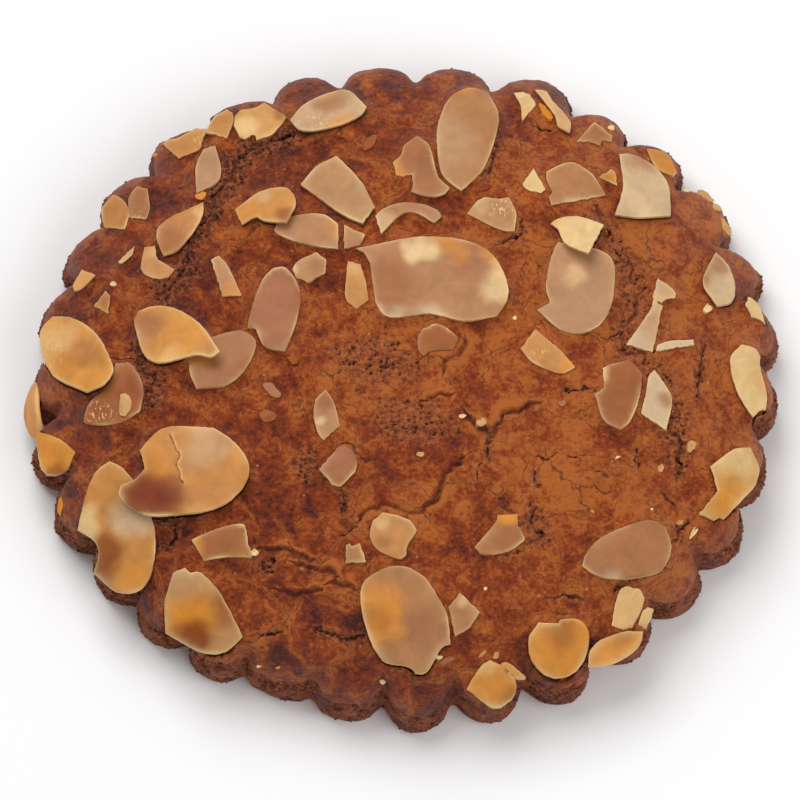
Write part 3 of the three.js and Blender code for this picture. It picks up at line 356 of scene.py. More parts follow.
# Bits of almond too small to be chips: place, length, width, turn in degrees and tone.
BITS = [
    (-31.3, 34, 1, 0.8, 20, "golden"), (-25.5, 25.4, 1.4, 1.1, 10, "golden"),
    (-2.7, 31.3, 3, 1.2, 50, "veiled"), (12, 23.7, 1.3, 0.9, 30, "toasted"),
    (29.3, 33, 1, 0.7, 0, "cream"), (38.8, 24, 0.8, 0.6, 0, "cream"), (40.4, 6.2, 1.6, 1, 40, "cream"),
    (41.2, 23.7, 2.6, 1.6, -20, "pale"), (42.7, 22, 1.6, 1.2, 30, "pale"),
    (43.5, 19.3, 3, 1.3, -60, "pale"), (19.1, 12.6, 2.2, 1.6, -20, "veiled"),
    (-15, 1.4, 2.6, 1.3, -60, "veiled"), (-17.8, -3, 3, 1.4, -45, "glazed"),
    (-37.2, -3.3, 3.2, 1.8, 80, "pale"), (-18.5, -6.4, 2.2, 1.7, 0, "veiled"),
    (20.8, 35.2, 3.6, 1.2, -70, "golden"), (7.1, -8.1, 0.8, 0.6, 0, "cream"),
    (9.5, -9.2, 1.5, 1.1, 20, "pale"), (1.3, -13, 1, 0.8, 0, "pale"),
    (20.3, -7.1, 1.2, 0.9, 10, "glazed"), (24.9, -18.5, 2.4, 1.2, -30, "veiled"),
    (37, -12.8, 1.8, 1.2, 60, "pale"), (32.8, -15.9, 1.1, 0.9, 0, "pale"),
    (34.8, -22.8, 1, 0.7, 0, "pale"), (36.7, -23.7, 2.4, 0.5, 58, "cream"),
    (-46.4, -14, 2.4, 0.9, 70, "golden"), (-21.3, -24.6, 1.2, 0.8, 0, "cream"),
    (-5.8, -43.6, 1, 0.8, 0, "cream"), (-22.1, -39, 0.6, 0.5, 0, "cream"),
    (-19.1, -38.6, 0.6, 0.5, 0, "golden"), (7.4, -34.2, 0.8, 0.6, 0, "golden"),
    (2.1, -39.6, 0.8, 0.6, 0, "cream"), (3.1, -39.8, 2.2, 0.9, 30, "glazed"),
    (7.8, -39.3, 1.6, 0.5, 40, "pale"), (9.6, -39.4, 1.1, 0.6, 50, "pale"),
    (25.7, -41, 1.2, 0.8, 0, "toasted"), (33.6, -34, 0.5, 0.5, 0, "golden"),
    (-37.6, 14.4, 0.8, 0.7, 0, "cream"), (27.2, -14.6, 0.6, 0.5, 0, "cream"),
    (23.4, -21.5, 0.6, 0.5, 0, "golden"), (14.8, 5.2, 0.6, 0.5, 0, "cream"),
    (8.6, -31.2, 0.6, 0.5, 0, "cream"), (31.2, -21.4, 0.5, 0.4, 0, "cream"),
]

# The slice that stands on its edge at the left rim: middle, half length, half height, lean and sweep.
STANDING = {"middle": (-49.9, 0.3, 5.4), "half_length": 4, "half_height": 2.2, "lean": 0.75, "sweep": 0.9}
STANDING_TONES = [("golden", 0.9), ("toasted", 0.4, -90, 0.7, 0.5)]


def srgb(code):
    """Linear RGBA of an sRGB hex colour."""
    shares = [int(code[i:i + 2], 16) / 255 for i in (0, 2, 4)]
    linear = [s / 12.92 if s <= 0.04045 else ((s + 0.055) / 1.055) ** 2.4 for s in shares]
    return (*linear, 1.0)


COLOUR = {"size": 4, "subtype": "COLOR"}


class CrustSettings(bpy.types.PropertyGroup):
    """Sizes and colours of the baked crust."""
    length: FloatProperty(
        name="Length", description="Oval over the lobes, along X", default=0.0996, unit="LENGTH")
    width: FloatProperty(
        name="Width", description="Oval over the lobes, along Y", default=0.0914, unit="LENGTH")
    rim_height: FloatProperty(
        name="Rim Height", description="Where the dome meets the edge", default=0.008, unit="LENGTH")
    crown_height: FloatProperty(
        name="Crown Height", description="Middle of the dome", default=0.0185, unit="LENGTH")
    skin_spacing: FloatProperty(
        name="Skin Spacing", description="Mesh spacing on plain skin", default=0.00044, unit="LENGTH")
    seed: IntProperty(name="Seed", description="Seed of the mesh points and the crumbs", default=7)
    skin: FloatVectorProperty(name="Skin", description="Baked skin", default=srgb("963d10"), **COLOUR)
    # Also the painted shade of the thin line between plates of skin.
    skin_dark: FloatVectorProperty(
        name="Dark Skin", description="Dark mottle of the skin", default=srgb("4f1b13"), **COLOUR)
    # Also the lighter lips of folds, cracks and plate edges, partly painted highlight.
    skin_light: FloatVectorProperty(
        name="Light Skin", description="Light mottle of the skin", default=srgb("c26a2a"), **COLOUR)
    crumb: FloatVectorProperty(name="Crumb", description="Torn crumb", default=srgb("a65935"), **COLOUR)
    # Painted shade: the colour that the bottoms of cracks, folds and pores and the crumb's darkest grains are
    # darkened toward.
    crack: FloatVectorProperty(
        name="Crack", description="Bottom of cracks and pores", default=srgb("451a10"), **COLOUR)
    flour: FloatVectorProperty(
        name="Flour", description="Pale specks in the skin", default=srgb("d9a06a"), **COLOUR)


class AlmondSettings(bpy.types.PropertyGroup):
    """Sizes and colours of the flaked almonds."""
    thickness: FloatProperty(
        name="Thickness", description="Thickness of a slice", default=0.0007, unit="LENGTH")
    ragged: FloatProperty(
        name="Raggedness", description="Roughness of a broken edge", default=0.00015, unit="LENGTH")
    bit_thickness: FloatProperty(
        name="Bit Thickness", description="Thickness of the smallest bits", default=0.0007, unit="LENGTH")
    pale: FloatVectorProperty(name="Pale", description="Plain almond", default=srgb("cb9c62"), **COLOUR)
    # Cream is also the colour of the painted light at the rims and thin edges.
    cream: FloatVectorProperty(
        name="Cream", description="Lightest almond and thin edges", default=srgb("edcc92"), **COLOUR)
    milky: FloatVectorProperty(
        name="Milky", description="Dry, untoasted almond", default=srgb("cfb28f"), **COLOUR)
    golden: FloatVectorProperty(
        name="Golden", description="Lightly toasted almond", default=srgb("d68a32"), **COLOUR)
    glazed: FloatVectorProperty(
        name="Glazed", description="Almond soaked by the glaze", default=srgb("a46a47"), **COLOUR)
    veiled: FloatVectorProperty(
        name="Veiled", description="Almond under the glaze", default=srgb("96501f"), **COLOUR)
    toasted: FloatVectorProperty(
        name="Toasted", description="Well toasted almond", default=srgb("7e3210"), **COLOUR)


class StageSettings(bpy.types.PropertyGroup):
    """Camera, light and floor."""
    elevation: FloatProperty(
        name="Elevation", description="Camera above the horizon", default=math.radians(72), subtype="ANGLE")
    turn: FloatProperty(
        name="Turn", description="Camera round from the front, to the left", default=math.radians(3.5),
        subtype="ANGLE")
    distance: FloatProperty(
        name="Distance", description="Camera from the cookie", default=3, unit="LENGTH")
    view_width: FloatProperty(
        name="View Width", description="Width of the picture at the cookie", default=0.1058, unit="LENGTH")
    floor: FloatVectorProperty(name="Floor", description="Pale floor", default=srgb("fcfcfc"), **COLOUR)


# Plain shapes and noise


def grain(points, size, seed):
    """Smooth noise from -1 to 1 over points in plan or in space, with bumps of about a size."""
    rows = np.zeros((len(points), 3))
    rows[:, :points.shape[1]] = points / size
    rows[:, 2] += seed
    return np.array([noise.noise(row) for row in rows.tolist()])


def wander(points, size, *seeds):
    """Smooth noise as a step in plan for each point."""
    return np.column_stack([grain(points, size, seed) for seed in seeds])


def bumps(points, table):
    """Sum of noises, each given by its size, height and seed."""
    return sum(height * grain(points, size, seed) for size, height, seed in table)


def smoothstep(value, start, end):
    """0 before start, 1 after end, smooth between."""
    share = np.clip((value - start) / (end - start), 0, 1)
    return share * share * (3 - 2 * share)


def between(before, start, end, after, share):
    """Place at a share of the way from start to end, on a smooth curve through all four."""
    bend = 2 * before - 5 * start + 4 * end - after
    twist = 3 * (start - end) + after - before
    return start + 0.5 * share * ((end - before) + share * (bend + share * twist))


def spline(points, step):
    """Points a step apart on a smooth curve through the given points."""
    points = np.asarray(points, dtype=float)
    padded = np.vstack([2 * points[0] - points[1], points, 2 * points[-1] - points[-2]])
    curve = []
    for corners in zip(padded, padded[1:], padded[2:], padded[3:]):
        count = max(int(np.ceil(np.linalg.norm(corners[2] - corners[1]) / step)), 1)
        curve.append(between(*corners, np.arange(count)[:, None] / count))
    return np.vstack([*curve, points[-1:]])


def outward(outline):
    """Unit steps out from the points of a closed outline that runs anticlockwise."""
    along = np.roll(outline, -1, axis=0) - np.roll(outline, 1, axis=0)
    return np.column_stack([along[:, 1], -along[:, 0]]) / np.linalg.norm(along, axis=1)[:, None]


def nearest(points, targets):
    """Distance from each plan point to the nearest target, and that target's number."""
    tree = kdtree.KDTree(len(targets))
    for i, (x, y) in enumerate(targets[:, :2].tolist()):
        tree.insert((x, y, 0), i)
    tree.balance()
    found = [tree.find((x, y, 0)) for x, y in points[:, :2].tolist()]
    return np.array([f[2] for f in found]), np.array([f[1] for f in found])


def inside(points, outline):
    """Which plan points lie inside a closed outline."""
    x, y = points[:, 0], points[:, 1]
    crossings = np.zeros(len(points), dtype=int)
    for (x0, y0), (x1, y1) in zip(outline, np.roll(outline, -1, axis=0)):
        spans = (y0 > y) != (y1 > y)
        rise = y1 - y0 if y1 != y0 else 1
        crossings += spans & (x < x0 + (y - y0) * (x1 - x0) / rise)
    return crossings % 2 == 1


def hexagon_grid(low, high, spacing, seed):
    """Slightly shaken points of a triangular grid over a plan box."""
    shake = np.random.default_rng(seed)
    points = []
    for k, y in enumerate(np.arange(low[1], high[1], spacing * math.sqrt(3) / 2)):
        x = np.arange(low[0] + (k % 2) * spacing / 2, high[0], spacing)
        points.append(np.column_stack([x, np.full(len(x), y)]))
    points = np.vstack(points)
    return points + shake.uniform(-GRID_SHAKE, GRID_SHAKE, points.shape) * spacing


def triangulate(outline, others):
    """Triangles inside a closed outline that use its points and the others. Returns points, faces."""
    points = [Vector(p) for p in np.vstack([outline, others]).tolist()]
    edges = [(i, (i + 1) % len(outline)) for i in range(len(outline))]
    only_inside, tolerance = 1, 1e-6
    found = delaunay_2d_cdt(points, edges, [], only_inside, tolerance)
    placed = np.array([tuple(p) for p in found[0]])
    faces = np.array(found[2])
    a, b, c = (placed[faces[:, k]] for k in range(3))
    area = (b[:, 0] - a[:, 0]) * (c[:, 1] - a[:, 1]) - (b[:, 1] - a[:, 1]) * (c[:, 0] - a[:, 0])
    faces[area < 0] = faces[area < 0][:, ::-1]
    return placed, faces


def add_mesh(name, points, faces, attributes, sharp=math.pi):
    """Smooth mesh from points in millimetres, with an attribute for each named array."""
    mesh = bpy.data.meshes.new(name)
    mesh.from_pydata((np.asarray(points) * MM).tolist(), [], faces)
    for key, values in attributes.items():
        kind, field = ("FLOAT", "value") if values.ndim == 1 else ("FLOAT_VECTOR", "vector")
        data = mesh.attributes.new(key, kind, "POINT").data
        data.foreach_set(field, values.astype(np.float32).ravel())
    mesh.validate()
    mesh.shade_smooth()
    mesh.set_sharp_from_angle(angle=sharp)
    return mesh


def add_object(name, mesh):
    """Links a new object that shows a mesh, at the origin."""
    piece = bpy.data.objects.new(name, mesh)
    bpy.context.scene.collection.objects.link(piece)
    return piece


def add_node(tree, kind, inputs=None, **settings):
    """Adds a node with its settings, and fills its inputs by name or number, or links them.

    An input is linked to the socket that is given for it, or to the first output of a node.
    """
    node = tree.nodes.new(kind)
    for key, value in settings.items():
        setattr(node, key, value)
    for key, value in (inputs or {}).items():
        if isinstance(value, bpy.types.Node):
            value = value.outputs[0]
        if isinstance(value, bpy.types.NodeSocket):
            tree.links.new(value, node.inputs[key])
        else:
            node.inputs[key].default_value = value
    return node


def new_tree(name, inputs):
    """A Geometry Nodes tree with named inputs. Returns it, what adds its nodes, and the inputs' sockets."""
    tree = bpy.data.node_groups.new(name, "GeometryNodeTree")
    for key, kind in {"Geometry": "Geometry", **inputs, "Material": "Material"}.items():
        tree.interface.new_socket(key, in_out="INPUT", socket_type=f"NodeSocket{kind}")
    tree.interface.new_socket("Geometry", in_out="OUTPUT", socket_type="NodeSocketGeometry")
    add = partial(add_node, tree)
    return tree, add, add("NodeGroupInput").outputs


def close_tree(add, geometry, material):
    """Ends a Geometry Nodes tree: real geometry with its material."""
    solid = add("GeometryNodeRealizeInstances", {"Geometry": geometry})
    painted = add("GeometryNodeSetMaterial", {"Geometry": solid, "Material": material})
    add("NodeGroupOutput", {"Geometry": painted})


def grow(piece, tree, values):
    """Applies a Geometry Nodes tree to a piece, with its inputs set by name, as a plain mesh."""
    modifier = piece.modifiers.new(tree.name, "NODES")
    modifier.node_group = tree
    for item in tree.interface.items_tree:
        if item.in_out == "INPUT" and item.name in values:
            modifier[item.identifier] = values[item.name]
    graph = bpy.context.evaluated_depsgraph_get()
    mesh = bpy.data.meshes.new_from_object(piece.evaluated_get(graph))
    piece.modifiers.remove(modifier)
    piece.data = mesh


# The crust's form


class Crust:
    """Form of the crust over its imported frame, in millimetres from the oval's middle."""

    def __init__(self, settings):
        self.half_length = settings.length / MM / 2
        self.half_width = settings.width / MM / 2
        self.rim = settings.rim_height / MM
        self.crown = settings.crown_height / MM
        self.seed = settings.seed
        self.read_edge()
        self.read_lines()

    def read_edge(self):
        """Takes the middle and the scalloped outline from the frame's underside."""
        corners = np.array([v.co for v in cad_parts["crust"].data.vertices]) / MM
        base = np.unique(np.round(corners[corners[:, 2] < 0.001, :2], 3), axis=0)
        middle = base[np.argmin(np.linalg.norm(base - base.mean(axis=0), axis=1))]
        self.origin = np.append(middle, 0)
        spokes = base - middle
        spokes = spokes[np.hypot(*spokes.T) > 1]
        angles = np.arctan2(spokes[:, 1], spokes[:, 0])
        order = np.argsort(angles)
        self.edge_angles = angles[order]
        self.edge_radii = np.hypot(*spokes[order].T) + FOOT_TUCK

    def edge_radius(self, angle):
        """Distance to the foot of the wall in a direction, on a smooth curve through the frame's points."""
        count = len(self.edge_angles)
        known = np.concatenate([self.edge_angles[-1:] - 2 * np.pi, self.edge_angles,
                                self.edge_angles[:1] + 2 * np.pi])
        place = np.interp(angle, known, np.arange(-1, count + 1))
        first = np.floor(place).astype(int)
        corners = (self.edge_radii[(first + k) % count] for k in (-1, 0, 1, 2))
        return between(*corners, place - first)

    def oval_radius(self, angle):
        """Distance to the oval over the lobes in a direction."""
        return 1 / np.hypot(np.cos(angle) / self.half_length, np.sin(angle) / self.half_width)

    def dome(self, x, y):
        """Smooth dome that nothing of the bare crust stands above."""
        radius = np.minimum(np.hypot(x / self.half_length, y / self.half_width), 1)
        flat, shoulder = DOME_POWERS
        return self.rim + (self.crown - self.rim) * (1 - radius ** flat) ** shoulder

    def inwards(self, points):
        """Distance of plan points in from the scalloped top edge, and the edge's own in from the oval."""
        angle = np.arctan2(points[:, 1], points[:, 0])
        oval = self.oval_radius(angle)
        inset = oval - self.edge_radius(angle)
        gap = oval - WALL_LEAN - np.hypot(points[:, 0], points[:, 1])
        distance = np.maximum(gap, 0)
        # The lobes fade with the same distance, so it is found by repeating.
        for _ in range(40):
            distance = np.maximum(gap - (1 - smoothstep(distance, 0, LOBE_FADE)) * inset, 0)
        return distance, inset

    def bare_top(self, points):
        """Height of the top before anything is baked into it, and the distance in from the edge."""
        x, y = points.T
        distance, inset = self.inwards(points)
        valley = np.clip(inset / LOBE_DEPTH, 0, 1) ** 1.3
        groove = GROOVE_DEPTH * valley * np.exp(-distance / GROOVE_RUN)
        rounding = np.maximum(EDGE_ROUND - distance, 0)
        drop = EDGE_ROUND - np.sqrt(np.maximum(EDGE_ROUND ** 2 - rounding ** 2, 0))
        ripple = np.sin(x / 5.1 + 0.6 * np.sin(y / 6.3)) + np.sin(y / 4.7 + 0.8 * np.sin(x / 7.9 + 1))
        hollow = UNDULATION * (0.5 + 0.25 * ripple)
        return self.dome(x, y) - groove - drop - hollow, distance

    def read_lines(self):
        """Lays the skin's lines out as close points, each with its heading, width, depth, lip and crumb."""
        rows = []
        for kind, runs in SKIN_LINES.items():
            width, depth, lip, torn = LINE_KINDS[kind]
            for run in runs:
                path = spline(run, LINE_STEP)
                path = path + 0.5 * wander(path, 1.1, 3.7, 9.2) + 0.2 * wander(path, 0.4, 1.7, 5.2)
                along = np.gradient(path, axis=0)
                along /= np.linalg.norm(along, axis=1)[:, None]
                ends = np.minimum(np.arange(len(path)), np.arange(len(path))[::-1])
                taper = smoothstep(ends, 0, 8) * 0.75 + 0.25
                vary = 1 + 0.5 * grain(path, 1.6, 4.4)
                sizes = np.column_stack([width * taper * vary, depth * taper * vary, lip * taper,
                                         torn * taper * vary])
                rows.append((path, along, sizes))
        self.line_path, self.line_along, sizes = (np.vstack(part) for part in zip(*rows))
        self.line_width, self.line_depth, self.line_lip, self.line_torn = sizes.T


# Almond pieces in the frame


def flake_outline(loop, ragged, seed):
    """Close outline of an almond piece: smooth where it is grown, rough where it is broken."""
    plan = loop[:, :2]
    ahead = np.roll(plan, -1, axis=0) - plan
    heading = np.arctan2(ahead[:, 1], ahead[:, 0])
    turn = np.abs((heading - np.roll(heading, 1) + np.pi) % (2 * np.pi) - np.pi)
    sharp = np.flatnonzero(turn > CORNER)
    if len(sharp) == 0:
        sharp = np.array([0])
    plan = np.roll(plan, -sharp[0], axis=0)
    sharp = np.append(sharp - sharp[0], len(plan))
    closed = np.vstack([plan, plan[:1]])
    stretches = []
    weights = []
    for start, end in zip(sharp, sharp[1:]):
        curve = spline(closed[start:end + 1], OUTLINE_STEP)[:-1]
        stretches.append(curve)
        # A stretch from one corner straight to the next is a break.
        weights.append(np.full(len(curve), 1.0 if end - start < 2 else GROWN_SHARE))
    outline = np.vstack(stretches)
    push = grain(outline, 0.7, seed) + 0.6 * grain(outline, 0.3, seed + 20)
    return outline + outward(outline) * (ragged * np.concatenate(weights) * push)[:, None]


def curved_terms(places):
    """Terms of a gently curved surface over places in plan."""
    x, y = places.T
    return np.column_stack([np.ones(len(x)), x, y, x * x, x * y, y * y])


class Flake:
    """An almond piece: its outline, the surface that its top lies on, and its thickness.

    The bank and the bed are how far below its top the dough stands beside it and under it.
    """

    def __init__(self, name, loop, middle, thickness, ragged, seed, bank, bed, crack=()):
        self.name = name
        self.crack = crack
        self.seed = seed
        self.thickness = thickness
        self.bank = bank
        self.bed = bed
        self.outline = flake_outline(loop, ragged, seed)
        self.centre = loop[:, :2].mean(axis=0)
        self.half_length = np.linalg.norm(loop[:, :2] - self.centre, axis=1).max()
        known = np.vstack([loop, middle]) if middle is not None else loop
        terms = curved_terms(known[:, :2] - self.centre)
        # A piece with few corners is flat.
        terms = terms if len(known) > 10 else terms[:, :3]
        fit = np.linalg.lstsq(terms, known[:, 2], rcond=None)[0]
        self.fit = np.append(fit, np.zeros(6 - len(fit)))

    def top(self, points):
        """Height of the frame's top face at plan points."""
        return curved_terms(points[:, :2] - self.centre) @ self.fit


def boundary_loop(faces):
    """Corners round a patch of faces, in order from the leftmost, in millimetres."""
    edges = {}
    for face in faces:
        for loop in face.loops:
            if not any(other in faces for other in loop.edge.link_faces if other is not face):
                edges[loop.vert] = loop.link_loop_next.vert
    start = min(edges, key=lambda corner: tuple(corner.co))
    ring = [start]
    while edges[ring[-1]] is not start:
        ring.append(edges[ring[-1]])
    return np.array([v.co for v in ring]) / MM


def merged(node):
    """The frame node's triangles as one joined bmesh."""
    joined = bmesh.new()
    joined.from_mesh(node.data)
    bmesh.ops.remove_doubles(joined, verts=joined.verts, dist=1e-6)
    return joined


def read_slices(crust, settings):
    """The slices of the frame, in the order of their names."""
    slices = []
    names = sorted(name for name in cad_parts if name.startswith("almond_slice"))
    for number, name in enumerate(names, 1):
        joined = merged(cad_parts[name])
        upper = {f for f in joined.faces if f.normal.z > 0.5}
        loop = boundary_loop(upper)
        rim = {tuple(np.round(p, 3)) for p in loop}
        middle = np.array([v.co for f in upper for v in f.verts]) / MM
        middle = np.array([p for p in middle if tuple(np.round(p, 3)) not in rim])[:1]
        bank = SUNK_BANK if number in SUNK_SLICES else LAID_BANK
        slices.append(Flake(name, loop - crust.origin, middle - crust.origin, settings.thickness / MM,
                            settings.ragged / MM, number, bank, SLICE_BED, SLICE_CRACKS.get(number, ())))
        joined.free()
    return slices


def read_chips(crust, settings):
    """The chips that stand out of the frame's crust, in the order of their places."""
    joined = merged(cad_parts["crust"])
    proud = set()
    for face in joined.faces:
        x, y, z = (np.array([v.co for v in face.verts]) / MM - crust.origin).T
        if np.all(z > crust.dome(x, y) + CHIP_PROUD):
            proud.add(face)
    chips = []
    while proud:
        patch = set()
        fringe = [min(proud, key=lambda f: f.index)]
        while fringe:
            face = fringe.pop()
            if face in proud:
                proud.discard(face)
                patch.add(face)
                fringe.extend(other for edge in face.edges for other in edge.link_faces)
        loop = boundary_loop(patch) - crust.origin
        if len(loop) > 3 and np.ptp(loop[:, :2], axis=0).max() > 1:
            chips.append(loop)
    joined.free()
    chips.sort(key=lambda loop: (round(loop[0, 0], 2), round(loop[0, 1], 2)))
    return [Flake(f"chip_{i}", loop, None, CHIP_THICKNESS, settings.ragged / MM, 100 + i, CHIP_BANK, CHIP_BED)
            for i, loop in enumerate(chips)]


# The crust's mesh


def covered(points, flakes):
    """Which plan points lie under any of the almond pieces."""
    hidden = np.zeros(len(points), dtype=bool)
    for flake in flakes:
        box = np.all(np.abs(points - flake.centre) < flake.half_length + RAGGED_ROOM, axis=1)
        hidden[box] |= inside(points[box], flake.outline)
    return hidden


def crust_points(crust, flakes, spacing):
    """Plan points for the top's mesh: close on lines, crumb and almond edges, wider on plain skin."""
    low = np.array([-crust.half_length, -crust.half_width]) - 1
    plain = hexagon_grid(low, -low, spacing, crust.seed)
    away, at = nearest(plain, crust.line_path)
    rims = np.vstack([flake.outline for flake in flakes])
    clear = away > LINE_REACH * crust.line_width[at] + PLAIN_GAP
    plain = plain[clear & (nearest(plain, rims)[0] > COLLAR_GAP)]
    plain = plain[~covered(plain, flakes) | (np.arange(len(plain)) % HIDDEN_SHARE == 0)]
    fine = hexagon_grid(low, -low, CRUMB_SPACING, crust.seed + 1)
    away, at = nearest(fine, crust.line_path)
    clear = away > LINE_REACH * crust.line_width[at] + CRUMB_GAP
    fine = fine[clear & (crumb_share(crust, fine) > 0.25) & ~covered(fine, flakes)]
    left = np.column_stack([-crust.line_along[:, 1], crust.line_along[:, 0]]) * crust.line_width[:, None]
    across = [crust.line_path + share * left for share in LINE_ROWS]
    collars = [flake.outline + away * outward(flake.outline) for flake in flakes for away in COLLARS]
    return np.vstack([plain, fine, *across, *collars])


def crumb_share(crust, points):
    """How far the skin is torn off at plan points, from 0 to 1."""
    ragged = bumps(points, TEAR_BUMPS)
    share = np.zeros(len(points))
    for x, y, half_length, half_width, turn in CRUMB_ZONES:
        lean = math.radians(turn)
        dx, dy = points[:, 0] - x, points[:, 1] - y
        along = (dx * math.cos(lean) + dy * math.sin(lean)) / half_length
        over = (-dx * math.sin(lean) + dy * math.cos(lean)) / half_width
        share = np.maximum(share, smoothstep(1 - np.hypot(along, over) + ragged, 0, TEAR_EDGE))
    away, at = nearest(points, crust.line_path)
    band = crust.line_torn[at]
    beside = smoothstep(1.2 - away / np.maximum(band, 0.05) + ragged, 0.2, 0.6) * (band > 0.05)
    return np.maximum(share, beside)


def skin_shade(points):
    """How much darker than usual the skin is at plan points."""
    x, y = points.T
    reach = np.hypot((x - SHADE_MIDDLE[0]) / SHADE_REACH[0], (y - SHADE_MIDDLE[1]) / SHADE_REACH[1])
    shade = SHADE * smoothstep(reach, SHADE_START, 1) + bumps(points, [SHADE_CLOUDS])
    for patch_x, patch_y, spread, darker in SKIN_PATCHES:
        shade += darker * np.exp(-((x - patch_x) ** 2 + (y - patch_y) ** 2) / (2 * spread ** 2))
    return shade


def crust_relief(crust, points, flakes):
    """Height of the baked top at plan points, with what the material reads."""
    height, distance = crust.bare_top(points)
    for size, rise, seed, start, full in TOP_BUMPS:
        height += rise * grain(points, size, seed) * smoothstep(distance, start, full)
    torn = crumb_share(crust, points) * smoothstep(distance, 0.5, 2)
    height -= TEAR_DEPTH * torn
    # Each line is a groove between raised lips. A fold is raised mostly on its left side.
    away, at = nearest(points, crust.line_path)
    offset = points - crust.line_path[at]
    left = offset[:, 1] * crust.line_along[at, 0] - offset[:, 0] * crust.line_along[at, 1]
    lip = crust.line_lip[at]
    reach = away / np.maximum(crust.line_width[at], 0.05)
    groove = np.clip(1 - reach * 1.6, 0, 1) ** 0.8
    one_sided = np.where((lip > FOLD_LIP) & (left < 0), FOLD_BACK, 1)
    lifted = one_sided * np.exp(-((reach - 1) / 0.9) ** 2) * (reach > 0.35)
    height += lip * lifted - crust.line_depth[at] * groove
    # The raised lips keep a share that the material paints lighter, partly as painted highlight.
    lifted *= np.clip(lip / 0.12, 0, 1)
    bank = np.zeros(len(points))
    floor = np.full(len(points), np.inf)
    for flake in flakes:
        near = np.all(np.abs(points - flake.centre) < flake.half_length + BANK_REACH, axis=1)
        box = np.flatnonzero(near)
        local = points[box]
        within = inside(local, flake.outline)
        gap = np.where(within, 0, nearest(local, flake.outline)[0])
        top = flake.top(local)
        # The dough banks up against a sunk piece, and only nudges one that lies on top.
        fall = np.exp(-(gap / BANK_RUN) ** 1.6) * (0.75 + 0.35 * grain(local, 2.5, flake.seed))
        wall = np.maximum(top - flake.bank - height[box], 0) * fall
        bank[box] = np.maximum(bank[box], np.where(within, 0, wall))
        floor[box] = np.where(within, np.minimum(floor[box], top - flake.bed), floor[box])
    height = np.minimum(height + bank, floor)
    # The groove's share is what the material paints darker, as painted shade at the bottom of the line.
    groove *= 0.6 + 0.4 * grain(points, 0.9, 43)
    return height, {"torn": torn, "crack": groove, "lifted": lifted, "shade": skin_shade(points)}


def crust_mesh(crust, flakes, settings):
    """The whole crust as one closed mesh: top, wall and underside."""
    angles = np.linspace(-np.pi, np.pi, SPOKES, endpoint=False)
    spokes = np.column_stack([np.cos(angles), np.sin(angles)])
    foot = crust.edge_radius(angles)
    uneven = bumps(spokes * foot[:, None], WALL_BUMPS)
    edge = spokes * (foot - WALL_LEAN)[:, None]
    rings = [edge * (1 - away / np.linalg.norm(edge, axis=1))[:, None] for away in EDGE_RINGS]
    others = crust_points(crust, flakes, settings.skin_spacing / MM)
    others = others[crust.inwards(others)[0] > EDGE_RINGS[-1] + 0.25]
    placed, faces = triangulate(edge, np.vstack([*rings, others]))
    height, attributes = crust_relief(crust, placed, flakes)
    top = np.column_stack([placed, height])
    # Wall from the top edge down to the underside, which closes on its middle.
    rows = []
    for out, share in spline(WALL_PROFILE, WALL_STEP)[1:]:
        radius = foot + out + uneven * math.sin(math.pi * min(share, 1)) ** 0.5
        rows.append(np.column_stack([spokes * radius[:, None], height[:SPOKES] * share]))
    base = rows[-1]
    base[:, 2] = 0
    rows.extend(base * [share, share, 1] for share in BASE_RINGS)
    points = np.vstack([top, *rows, [[0, 0, 0]]])
    faces = faces.tolist()
    before = np.arange(SPOKES)
    for k in range(len(rows)):
        ring = len(top) + k * SPOKES + np.arange(SPOKES)
        quads = np.column_stack([before, ring, np.roll(ring, -1), np.roll(before, -1)])
        faces.extend(quads.tolist())
        before = ring
    last = len(points) - 1
    faces.extend([int(a), last, int(b)] for a, b in zip(before, np.roll(before, -1)))
    lower = points[len(top):]
    side = smoothstep(lower[:, 2], *WALL_CRUMB)
    crumbly = 0.85 * side * smoothstep(bumps(lower, [(2.4, 1, 61), (0.9, 0.5, 62)]), -0.35, 0.25)
    none = np.zeros(len(lower))
    below = {"torn": crumbly, "crack": none, "lifted": none, "shade": np.full(len(lower), WALL_SHADE)}
    attributes = {key: np.concatenate([attributes[key], below[key]]) for key in below}
    attributes["skin"] = np.concatenate([np.ones(len(top)), 3 * side])
    return add_mesh("spice_crust", points + crust.origin, faces, attributes)


def skin_plates(add, place):
    """Uneven plates of skin: a level of each plate's own from 0 to 1, and the distance in from its edge."""
    size = PLATE_SIZE * MM
    sway = add("ShaderNodeTexNoise", {"Vector": place, "Scale": 0.6 / size, "Detail": 5.0, "Roughness": 0.6})
    sway = add("ShaderNodeVectorMath", {0: sway.outputs["Color"], 1: (0.5, 0.5, 0.5)}, operation="SUBTRACT")
    place = add("ShaderNodeVectorMath", {0: sway, 1: (1.6 * size,) * 3, 2: place}, operation="MULTIPLY_ADD")
    cells = add("ShaderNodeTexVoronoi", {"Vector": place, "Scale": 1 / size})
    edges = add("ShaderNodeTexVoronoi", {"Vector": place, "Scale": 1 / size}, feature="DISTANCE_TO_EDGE")
    level = add("ShaderNodeSeparateXYZ", {0: cells.outputs["Color"]})
    return level, edges.outputs["Distance"]


